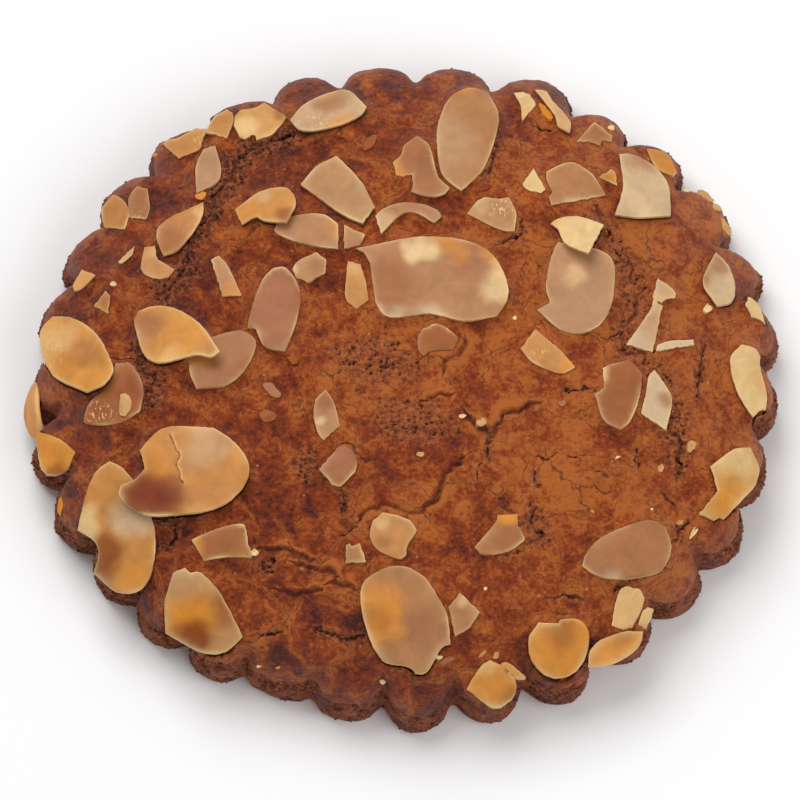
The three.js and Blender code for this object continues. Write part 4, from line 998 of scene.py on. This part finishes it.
def relief_tree():
    """Geometry Nodes that roughen the crust: blistered plates of skin, grainy crumb and pores."""
    tree, add, given = new_tree("crust_relief", dict.fromkeys(RELIEF, "Float"))
    place = add("GeometryNodeInputPosition")
    normal = add("GeometryNodeInputNormal")
    skin, torn = (add("GeometryNodeInputNamedAttribute", {"Name": name}) for name in ("skin", "torn"))
    scales = {kind: add("ShaderNodeMath", {0: 1.0, 1: given[f"{kind} Size"]}, operation="DIVIDE")
              for kind in ("Blister", "Grain", "Crumb", "Pore")}
    # Each plate of skin stands at its own level.
    level, _ = skin_plates(add, place)
    upper = add("ShaderNodeMath", {0: skin, 1: 1.0}, operation="MINIMUM")
    lifts = [("Plate", level, upper)]
    for kind, mask, detail in (("Blister", skin, 2.0), ("Grain", skin, 3.0), ("Crumb", torn, 4.0)):
        rough = add("ShaderNodeTexNoise", {"Vector": place, "Scale": scales[kind], "Detail": detail})
        lifts.append((kind, rough, mask))
    total = 0.0
    for kind, rough, mask in lifts:
        centred = add("ShaderNodeMath", {0: rough, 1: 0.5}, operation="SUBTRACT")
        raised = add("ShaderNodeMath", {0: centred, 1: given[f"{kind} Height"]}, operation="MULTIPLY")
        total = add("ShaderNodeMath", {0: raised, 1: mask, 2: total}, operation="MULTIPLY_ADD")
    # Pores crowd together in places and are uneven in shape.
    cells = add("ShaderNodeTexVoronoi", {"Vector": place, "Scale": scales["Pore"]})
    crowd = add("ShaderNodeMath", {0: scales["Pore"], 1: 0.6}, operation="MULTIPLY")
    crowd = add("ShaderNodeTexNoise", {"Vector": place, "Scale": crowd, "Detail": 4.0})
    reach = add("ShaderNodeMath", {0: crowd, 1: -1.1, 2: cells.outputs["Distance"]}, operation="MULTIPLY_ADD")
    hole = add("ShaderNodeMapRange", {"Value": reach, "From Min": -0.4, "From Max": -0.2,
                                      "To Min": 1.0, "To Max": 0.0}, interpolation_type="SMOOTHSTEP")
    pore = add("ShaderNodeMath", {0: hole, 1: torn}, operation="MULTIPLY")
    sink = add("ShaderNodeMath", {0: pore, 1: given["Pore Depth"]}, operation="MULTIPLY")
    total = add("ShaderNodeMath", {0: total, 1: sink}, operation="SUBTRACT")
    offset = add("ShaderNodeVectorMath", {0: normal, "Scale": total}, operation="SCALE")
    # The pores' share is kept for the material, which darkens them as painted shade.
    stored = add("GeometryNodeStoreNamedAttribute",
                 {"Geometry": given["Geometry"], "Name": "pore", "Value": pore},
                 data_type="FLOAT", domain="POINT")
    moved = add("GeometryNodeSetPosition", {"Geometry": stored, "Offset": offset})
    close_tree(add, moved, given["Material"])
    return tree


def crumbs_tree():
    """Geometry Nodes that strew loose crumbs over the torn places of the crust."""
    tree, add, given = new_tree("loose_crumbs", {**dict.fromkeys(CRUMBS, "Float"), "Seed": "Int"})
    torn = add("GeometryNodeInputNamedAttribute", {"Name": "torn"})
    density = add("ShaderNodeMath", {0: torn, 1: given["Crumbs per Area"]}, operation="MULTIPLY")
    spots = add("GeometryNodeDistributePointsOnFaces",
                {"Mesh": given["Geometry"], "Density": density, "Seed": given["Seed"]})
    crumb = add("GeometryNodeMeshIcoSphere", {"Radius": 0.5, "Subdivisions": 1})
    size = add("FunctionNodeRandomValue", {2: given["Smallest"], 3: given["Largest"], "Seed": given["Seed"]},
               data_type="FLOAT")
    turn = add("FunctionNodeRandomValue", {1: CRUMB_TURN, "Seed": given["Seed"]}, data_type="FLOAT_VECTOR")
    placed = add("GeometryNodeInstanceOnPoints",
                 {"Points": spots.outputs["Points"], "Instance": crumb.outputs["Mesh"],
                  "Rotation": turn, "Scale": size.outputs[1]})
    close_tree(add, placed, given["Material"])
    return tree


# Almonds


def flake_tint(flake, placed, away, tones, settings):
    """Colour and flecks of an almond piece: soft patches, one over the other, on a pale ground."""
    across = (placed - flake.centre) / flake.half_length
    for size, push in ((3.5, 0.16), (1.2, 0.04)):
        across = across + push * wander(placed, size, flake.seed + 60, flake.seed + 70)
    tint = np.tile(np.array(settings.pale[:3]), (len(placed), 1))
    flecks = np.zeros(len(placed))
    for tone, strength, *where in tones:
        facing, distance, spread = where or EVEN
        spot = distance * np.array([math.cos(math.radians(facing)), math.sin(math.radians(facing))])
        gap = np.linalg.norm(across - spot, axis=1)
        share = strength * (1 - smoothstep(gap, 0.3 * spread, spread))
        if tone == "flecked":
            flecks = np.maximum(flecks, share)
        else:
            tint += share[:, None] * (np.array(getattr(settings, tone)[:3]) - tint)
    # Light comes through the thin edge, more on some stretches and little where the edge is sunk.
    through = np.clip(0.3 + 1.2 * grain(placed, 4.5, flake.seed + 90), 0, 1)
    glow = (0.5 if flake.bank == LAID_BANK else 0.2) * through * np.exp(-away / 0.6)
    return tint + glow[:, None] * (np.array(settings.cream[:3]) - tint), flecks


def flake_mesh(flake, tones, settings):
    """Points, faces and attributes of an almond piece, in millimetres."""
    outline = flake.outline
    out = outward(outline)
    fill = hexagon_grid(outline.min(axis=0), outline.max(axis=0), FLAKE_SPACING, flake.seed)
    fill = np.vstack([outline - RIM_INSET * out, fill])
    fill = fill[inside(fill, outline)]
    gap = nearest(fill, outline)[0]
    fill = fill[(gap > FLAKE_SPACING) | ((gap > RIM_INSET - 0.05) & (gap < RIM_INSET + 0.01))]
    if flake.crack:
        path = spline(flake.crack, 0.16)
        path += 0.25 * wander(path, 0.8, 3.7, 9.2)
        path = path[nearest(path, outline)[0] > 0.3]
        beside = np.vstack([path, path + [0.16, 0], path - [0.16, 0]])
        fill = np.vstack([fill[nearest(fill, beside)[0] > 0.15], beside])
    placed, faces = triangulate(outline, fill)
    away, _ = nearest(placed, outline)
    count = len(outline)
    away[:count] = 0
    # The face is a little uneven and curls up on one side.
    lean = flake.seed * 2.4
    curl = (placed - flake.centre) / flake.half_length @ [math.cos(lean), math.sin(lean)]
    top = flake.top(placed) + 0.12 * np.clip(curl, 0, 1) ** 2 + 0.05 * grain(placed, 1.8, flake.seed)
    top -= 0.04 * np.exp(-away / 0.1)
    # Painted highlight and light through the edge: a bright rim, thin and only on some stretches of the edge.
    lit = np.clip(0.3 + 1.1 * grain(placed, 3.5, flake.seed + 80), 0, 1)
    rim = lit * np.exp(-(away / 0.17) ** 2)
    if flake.crack:
        # The half on the right of a crack stands higher, with a painted highlight as a bright edge.
        split, at = nearest(placed, path)
        right = placed[:, 0] - path[at, 0]
        top += 0.15 * np.exp(-split / 0.8) * (right > 0) - 0.3 * np.exp(-(split / 0.1) ** 2)
        rim = np.maximum(rim, 0.8 * np.exp(-(split / 0.25) ** 2) * (right > 0.05))
    waist = np.column_stack([outline + 0.05 * out, top[:count] - 0.45 * flake.thickness])
    under = np.column_stack([placed, top - flake.thickness])
    points = np.vstack([np.column_stack([placed, top]), waist, under])
    first_waist = len(placed)
    first_under = first_waist + count
    ring = np.arange(count)
    ahead = np.roll(ring, -1)
    sides = [np.column_stack([a + ring, b + ring, b + ahead, a + ahead])
             for a, b in ((0, first_waist), (first_waist, first_under))]
    every = faces.tolist() + [quad for side in sides for quad in side.tolist()]
    every += (faces[:, ::-1] + first_under).tolist()
    tint, flecks = flake_tint(flake, placed, away, tones, settings)
    # The sides take most of the rim's brightness: painted light where they would lie in shade.
    attributes = {"tint": np.vstack([tint, tint[:count], tint]),
                  "rim": np.concatenate([rim, np.full(count, 0.7), rim]),
                  "flecks": np.concatenate([flecks, flecks[:count], flecks])}
    return points, every, attributes


def standing_mesh(settings):
    """The slice that stands on its edge at the left rim, as points, faces and attributes."""
    turn = np.linspace(0, 2 * np.pi, 28, endpoint=False)
    half_length, half_height = STANDING["half_length"], STANDING["half_height"]
    loop = np.column_stack([half_length * np.cos(turn), half_height * np.sin(turn), np.zeros(len(turn))])
    flake = Flake("standing", loop, None, settings.thickness / MM, settings.ragged / MM, 90, 0, 0)
    points, faces, attributes = flake_mesh(flake, STANDING_TONES, settings)
    along, up, out = points.T
    x0, y0, z0 = STANDING["middle"]
    lean = STANDING["lean"] * up / half_height + STANDING["sweep"] * (along / half_length) ** 2
    return np.column_stack([x0 - out + lean, y0 - along, z0 + up]), faces, attributes


def joined_parts(parts):
    """Several parts as one: points, faces and attributes."""
    faces = []
    start = 0
    for points, own_faces, _ in parts:
        faces.extend([[start + v for v in face] for face in own_faces])
        start += len(points)
    attributes = {key: np.concatenate([part[2][key] for part in parts]) for key in parts[0][2]}
    return np.vstack([part[0] for part in parts]), faces, attributes


def bit_points(crust, slices, chips, settings):
    """Mesh of bare points for the smallest almond bits, with each one's size, turn and colour."""
    plan = np.array([bit[:2] for bit in BITS], dtype=float)
    angle = np.arctan2(plan[:, 1], plan[:, 0])
    reach = np.minimum(np.hypot(*plan.T), crust.edge_radius(angle) - WALL_LEAN - 0.4)
    plan = np.column_stack([np.cos(angle), np.sin(angle)]) * reach[:, None]
    height = crust_relief(crust, plan, [*slices, *chips])[0]
    for flake in slices:
        over = inside(plan, flake.outline)
        height[over] = np.maximum(height[over], flake.top(plan[over]))
    x, y = plan.T
    slope_x = crust.dome(x + 0.5, y) - crust.dome(x - 0.5, y)
    slope_y = crust.dome(x, y + 0.5) - crust.dome(x, y - 0.5)
    thickness = settings.bit_thickness / MM
    stretch, spin, tint = [], [], []
    for bit, tilt_x, tilt_y in zip(BITS, slope_x, slope_y):
        length, width, turn, tone = bit[2:]
        upright = Vector((0, 0, 1)).rotation_difference(Vector((-tilt_x, -tilt_y, 1))).to_matrix()
        spin.append(tuple((upright @ Matrix.Rotation(math.radians(turn), 3, "Z")).to_euler()))
        stretch.append((length * MM, width * MM, min(thickness, width) * MM))
        tint.append(tuple(getattr(settings, tone)[:3]))
    # The glaze lies round them, so less than a third of their thickness stands out of it.
    points = np.column_stack([plan, height - BIT_SINK]) + crust.origin
    return add_mesh("almond_bits", points, [], {"stretch": np.array(stretch), "spin": np.array(spin),
                                                "tint": np.array(tint)})


def bits_tree():
    """Geometry Nodes that set an uneven almond bit on each point, at its own size and turn."""
    tree, add, given = new_tree("almond_bits", dict.fromkeys(BIT_DENTS, "Float"))
    stretch, spin = (add("GeometryNodeInputNamedAttribute", {"Name": name}, data_type="FLOAT_VECTOR")
                     for name in ("stretch", "spin"))
    bit = add("GeometryNodeMeshCylinder", {"Vertices": 9, "Radius": 0.5, "Depth": 1.0})
    placed = add("GeometryNodeInstanceOnPoints",
                 {"Points": given["Geometry"], "Instance": bit.outputs["Mesh"], "Rotation": spin,
                  "Scale": stretch})
    # The dents move the bits' own points, so the instances are made real before them.
    solid = add("GeometryNodeRealizeInstances", {"Geometry": placed})
    place = add("GeometryNodeInputPosition")
    scale = add("ShaderNodeMath", {0: 1.0, 1: given["Dent Size"]}, operation="DIVIDE")
    dents = add("ShaderNodeTexNoise", {"Vector": place, "Scale": scale, "Detail": 1.0}).outputs["Color"]
    centred = add("ShaderNodeVectorMath", {0: dents, 1: (0.5, 0.5, 0.5)}, operation="SUBTRACT")
    push = add("ShaderNodeVectorMath", {0: centred, "Scale": given["Dent Depth"]}, operation="SCALE")
    dented = add("GeometryNodeSetPosition", {"Geometry": solid, "Offset": push})
    close_tree(add, dented, given["Material"])
    return tree


# Materials


def new_material(name):
    """An empty material. Returns it, what adds its nodes, and the place on the piece in metres."""
    material = bpy.data.materials.new(name)
    material.use_nodes = True
    material.node_tree.nodes.clear()
    add = partial(add_node, material.node_tree)
    return material, add, add("ShaderNodeTexCoord").outputs["Object"]


def crust_material(settings):
    """Dark spiced biscuit under an egg wash: mottled satin skin, dull crumb, and painted shade in its cracks
    and pores.
    """
    material, add, place = new_material("egg_washed_spice_crust")
    shade, torn, crack, pore, lifted = (add("ShaderNodeAttribute", attribute_name=name).outputs["Fac"]
                                        for name in ("shade", "torn", "crack", "pore", "lifted"))
    # Soft patches of 6 mm, blotches of 2 mm and specks of about half a millimetre.
    patches, blotches, specks = (
        add("ShaderNodeTexNoise", {"Vector": place, "Scale": 1 / (size * MM), "Detail": detail,
                                   "Roughness": rough, "Distortion": warp})
        for size, detail, rough, warp in MOTTLE)
    # Some plates of skin are lighter than others. Skin lifted along a fold or a crack is lighter,
    # partly as thin skin and partly as painted highlight on the raised lip.
    level, edge = skin_plates(add, place)
    mottle = add("ShaderNodeMath", {0: shade, 1: -1.0}, operation="MULTIPLY")
    for part, weight in ((patches, 0.45), (blotches, 0.45), (specks, 0.52), (level, 0.045), (lifted, 0.13)):
        mottle = add("ShaderNodeMath", {0: part, 1: weight, 2: mottle}, operation="MULTIPLY_ADD")
    # Torn crumb: tan grains between dark pores, whose darkness is painted shade.
    grains = add("ShaderNodeMath", {0: specks, 1: shade}, operation="SUBTRACT")
    inks = []
    for tone, stops in ((mottle, SKIN_STOPS), (grains, CRUMB_STOPS)):
        node = add("ShaderNodeValToRGB", {"Fac": tone})
        ramp = node.color_ramp.elements
        for element, (position, ink) in zip((ramp[0], ramp[1]), (stops[0], stops[-1])):
            element.position = position
            element.color = getattr(settings, ink)
        for position, ink in stops[1:-1]:
            ramp.new(position).color = getattr(settings, ink)
        inks.append(node)
    colour, crumb = inks
    # Edges where plates of skin have lifted apart, in places: a thin dark line of painted shade
    # between light lips, which are partly thin skin and partly painted highlight.
    gate = add("ShaderNodeMapRange", {"Value": patches, "From Min": 0.46, "From Max": 0.54})
    seams = []
    for start, end, strength in (PLATE_LIP, PLATE_SHADE_LINE):
        seam = add("ShaderNodeMapRange", {"Value": edge, "From Min": start, "From Max": end,
                                          "To Min": strength, "To Max": 0.0})
        seams.append(add("ShaderNodeMath", {0: seam, 1: gate}, operation="MULTIPLY"))
    # A few pale specks of almond flour.
    cells = add("ShaderNodeTexVoronoi", {"Vector": place, "Scale": 1 / (FLOUR_SPACING * MM)}).outputs
    fleck = add("ShaderNodeMapRange", {"Value": cells["Distance"], "From Min": 0.05, "From Max": 0.085,
                                       "To Min": 0.6, "To Max": 0.0})
    chosen = add("ShaderNodeMath", {0: cells["Color"], 1: 0.55}, operation="GREATER_THAN")
    fleck = add("ShaderNodeMath", {0: fleck, 1: chosen}, operation="MULTIPLY")
    bare = add("ShaderNodeMath", {0: torn, 1: 0.95}, operation="MULTIPLY")
    # Painted shade: the bottoms of cracks, folds and pores are mixed toward the dark crack colour.
    pore = add("ShaderNodeMath", {0: pore, 1: 0.5}, operation="MULTIPLY")
    depth = add("ShaderNodeMath", {0: crack, 1: pore}, operation="MAXIMUM")
    depth = add("ShaderNodeMath", {0: depth, 1: 0.8}, operation="MULTIPLY")
    layers = ((seams[0], tuple(settings.skin_light)), (seams[1], tuple(settings.skin_dark)),
              (fleck, tuple(settings.flour)), (bare, crumb), (depth, tuple(settings.crack)))
    for share, ink in layers:
        colour = add("ShaderNodeMix", {0: share, 6: colour, 7: ink}, data_type="RGBA").outputs[2]
    satin = add("ShaderNodeMapRange", {"Value": blotches, "From Min": 0.35, "From Max": 0.65,
                                       "To Min": 0.46, "To Max": 0.66})
    dull = add("ShaderNodeMix", {0: torn, 2: satin, 3: 0.95}, data_type="FLOAT")
    # Bump only for what is finer than the mesh: specks, the grain between them and crisp plate edges.
    rough = add("ShaderNodeMath", {0: specks, 1: blotches}, operation="ADD")
    rough = add("ShaderNodeMath", {0: level, 1: 0.3, 2: rough}, operation="MULTIPLY_ADD")
    bump = add("ShaderNodeBump", {"Height": rough, "Strength": 1.0, "Distance": 0.0005})
    shader = add("ShaderNodeBsdfPrincipled",
                 {"Base Color": colour, "Roughness": dull, "Normal": bump, "IOR": 1.46,
                  "Specular IOR Level": 0.3, "Sheen Weight": 0.12, "Sheen Roughness": 0.4,
                  "Sheen Tint": srgb("f4e2d8")})
    add("ShaderNodeOutputMaterial", {"Surface": shader})
    return material


def almond_material(settings):
    """Flaked almond: waxy and smooth, pale to golden or brown, with a painted highlight as a thin bright rim
    here and there.
    """
    material, add, place = new_material("flaked_almond")
    tint = add("ShaderNodeAttribute", attribute_name="tint").outputs["Color"]
    rim, flecks = (add("ShaderNodeAttribute", attribute_name=name).outputs["Fac"]
                   for name in ("rim", "flecks"))
    # Faint clouds of 3 mm in the flesh, with fine grain in them.
    cloud = add("ShaderNodeTexNoise", {"Vector": place, "Scale": 1 / (3 * MM), "Detail": 5.0,
                                       "Roughness": 0.65, "Distortion": 0.5})
    depth = add("ShaderNodeMapRange", {"Value": cloud, "From Min": 0.3, "From Max": 0.7,
                                       "To Min": 0.85, "To Max": 1.15})
    colour = add("ShaderNodeVectorMath", {0: tint, "Scale": depth}, operation="SCALE")
    # Frayed flesh: flecks of 0.6 mm, longer than they are wide.
    long_way = add("ShaderNodeVectorMath", {0: place, 1: (2.2, 0.8, 1.0)}, operation="MULTIPLY")
    frayed = add("ShaderNodeTexNoise", {"Vector": long_way, "Scale": 1 / (0.6 * MM), "Detail": 2.0})
    frayed = add("ShaderNodeMapRange", {"Value": frayed, "From Min": 0.56, "From Max": 0.63})
    frayed = add("ShaderNodeMath", {0: frayed, 1: flecks}, operation="MULTIPLY")
    # The rim is painted light; the frayed flecks are the flesh's own.
    for share in (rim, frayed):
        colour = add("ShaderNodeMix", {0: share, 6: colour, 7: tuple(settings.cream)},
                     data_type="RGBA").outputs[2]
    shader = add("ShaderNodeBsdfPrincipled",
                 {"Base Color": colour, "Roughness": 0.4, "IOR": 1.46, "Specular IOR Level": 0.2})
    add("ShaderNodeOutputMaterial", {"Surface": shader})
    return material


def floor_material(settings):
    """Matt white studio card with a very faint tooth."""
    material, add, place = new_material("white_studio_card")
    tooth = add("ShaderNodeTexNoise", {"Vector": place, "Scale": 1 / MM})
    bump = add("ShaderNodeBump", {"Height": tooth, "Strength": 0.02, "Distance": 0.0001})
    shader = add("ShaderNodeBsdfPrincipled",
                 {"Base Color": tuple(settings.floor), "Roughness": 0.8, "Normal": bump,
                  "Specular IOR Level": 0.2})
    add("ShaderNodeOutputMaterial", {"Surface": shader})
    return material


# Operators


class COOKIE_OT_stage(bpy.types.Operator):
    """Sets the camera, the soft studio light and the pale floor"""
    bl_idname = "cookie.stage"
    bl_label = "Stage"

    def execute(self, context):
        settings = context.scene.cookie_stage
        scene = context.scene
        scene.view_settings.view_transform = "Standard"
        lift, turn = settings.elevation, settings.turn
        away = Vector((-math.sin(turn) * math.cos(lift), -math.cos(turn) * math.cos(lift), math.sin(lift)))
        facing = away.to_track_quat("Z", "Y")
        camera = bpy.data.cameras.new("camera")
        camera.sensor_width = SENSOR
        camera.lens = SENSOR * settings.distance / settings.view_width
        camera.clip_start = 0.01
        viewer = add_object("camera", camera)
        place = Matrix.Translation(Vector(TARGET) + away * settings.distance)
        viewer.matrix_world = place @ facing.to_matrix().to_4x4()
        scene.camera = viewer
        world = bpy.data.worlds.new("studio")
        world.use_nodes = True
        sky = world.node_tree.nodes["Background"].inputs
        sky["Color"].default_value = srgb("ffffff")
        sky["Strength"].default_value = SKY_STRENGTH
        scene.world = world
        for name, place, size, power in LIGHTS:
            light = bpy.data.lights.new(name, "AREA")
            light.size = size
            light.energy = power
            lamp = add_object(name, light)
            lamp.location = place
            lamp.rotation_euler = Vector(place).to_track_quat("Z", "Y").to_euler()
        corners = [(x * FLOOR_HALF, y * FLOOR_HALF, 0) for x, y in ((-1, -1), (1, -1), (1, 1), (-1, 1))]
        mesh = bpy.data.meshes.new("floor")
        mesh.from_pydata(corners, [], [(0, 1, 2, 3)])
        mesh.materials.append(floor_material(settings))
        floor = add_object("floor", mesh)
        floor.location.z = -FLOOR_DROP
        return {"FINISHED"}


class COOKIE_OT_crust(bpy.types.Operator):
    """Bakes the crust over its frame node and strews its loose crumbs"""
    bl_idname = "cookie.crust"
    bl_label = "Crust"

    def execute(self, context):
        settings = context.scene.cookie_crust
        almonds = context.scene.cookie_almonds
        crust = Crust(settings)
        flakes = [*read_slices(crust, almonds), *read_chips(crust, almonds)]
        material = crust_material(settings)
        piece = add_object("spice_crust", crust_mesh(crust, flakes, settings))
        relief = {name: size * MM for name, size in RELIEF.items()}
        grow(piece, relief_tree(), {**relief, "Material": material})
        crumbs = add_object("spice_crumbs", piece.data.copy())
        grow(crumbs, crumbs_tree(), {**CRUMBS, "Seed": settings.seed, "Material": material})
        for part in (piece, crumbs):
            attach(part, "root")
        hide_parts("crust")
        return {"FINISHED"}


class COOKIE_OT_almonds(bpy.types.Operator):
    """Lays the almond slices over their frame nodes, and the chips and bits on the crust"""
    bl_idname = "cookie.almonds"
    bl_label = "Almonds"

    def execute(self, context):
        settings = context.scene.cookie_almonds
        crust = Crust(context.scene.cookie_crust)
        material = almond_material(settings)
        slices = read_slices(crust, settings)
        chips = read_chips(crust, settings)
        for number, flake in enumerate(slices, 1):
            points, faces, attributes = flake_mesh(flake, SLICE_TONES[number], settings)
            mesh = add_mesh(flake.name, points + crust.origin, faces, attributes, SHARP_EDGE)
            mesh.materials.append(material)
            piece = add_object(flake.name.replace("almond_slice", "flaked_almond"), mesh)
            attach(piece, "root")
            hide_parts(flake.name)
        parts = [standing_mesh(settings)]
        for flake in chips:
            place = min(CHIP_TONES, key=lambda spot: math.dist(spot, flake.centre))
            parts.append(flake_mesh(flake, CHIP_TONES[place], settings))
        points, faces, attributes = joined_parts(parts)
        mesh = add_mesh("almond_chips", points + crust.origin, faces, attributes, SHARP_EDGE)
        mesh.materials.append(material)
        stuck = add_object("almond_chips", mesh)
        bits = add_object("almond_bits", bit_points(crust, slices, chips, settings))
        grow(bits, bits_tree(), {**BIT_DENTS, "Material": material})
        for piece in (stuck, bits):
            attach(piece, "root")
        return {"FINISHED"}


class COOKIE_PT_panel(bpy.types.Panel):
    """Lists the cookie's steps in the sidebar"""
    bl_idname = "COOKIE_PT_panel"
    bl_label = "Filled Spice Cookie"
    bl_space_type = "VIEW_3D"
    bl_region_type = "UI"
    bl_category = "Cookie"

    def draw(self, context):
        for operator in OPERATORS:
            self.layout.operator(operator.bl_idname)


SETTINGS = {"cookie_crust": CrustSettings, "cookie_almonds": AlmondSettings, "cookie_stage": StageSettings}
OPERATORS = (COOKIE_OT_stage, COOKIE_OT_crust, COOKIE_OT_almonds)


def register():
    for kind in (*SETTINGS.values(), *OPERATORS, COOKIE_PT_panel):
        bpy.utils.register_class(kind)
    for name, kind in SETTINGS.items():
        setattr(bpy.types.Scene, name, PointerProperty(type=kind))


def unregister():
    for name in SETTINGS:
        delattr(bpy.types.Scene, name)
    for kind in (COOKIE_PT_panel, *reversed(OPERATORS), *SETTINGS.values()):
        bpy.utils.unregister_class(kind)


def main():
    register()
    bpy.ops.cookie.stage()
    bpy.ops.cookie.crust()
    bpy.ops.cookie.almonds()


if __name__ == "__main__":
    main()
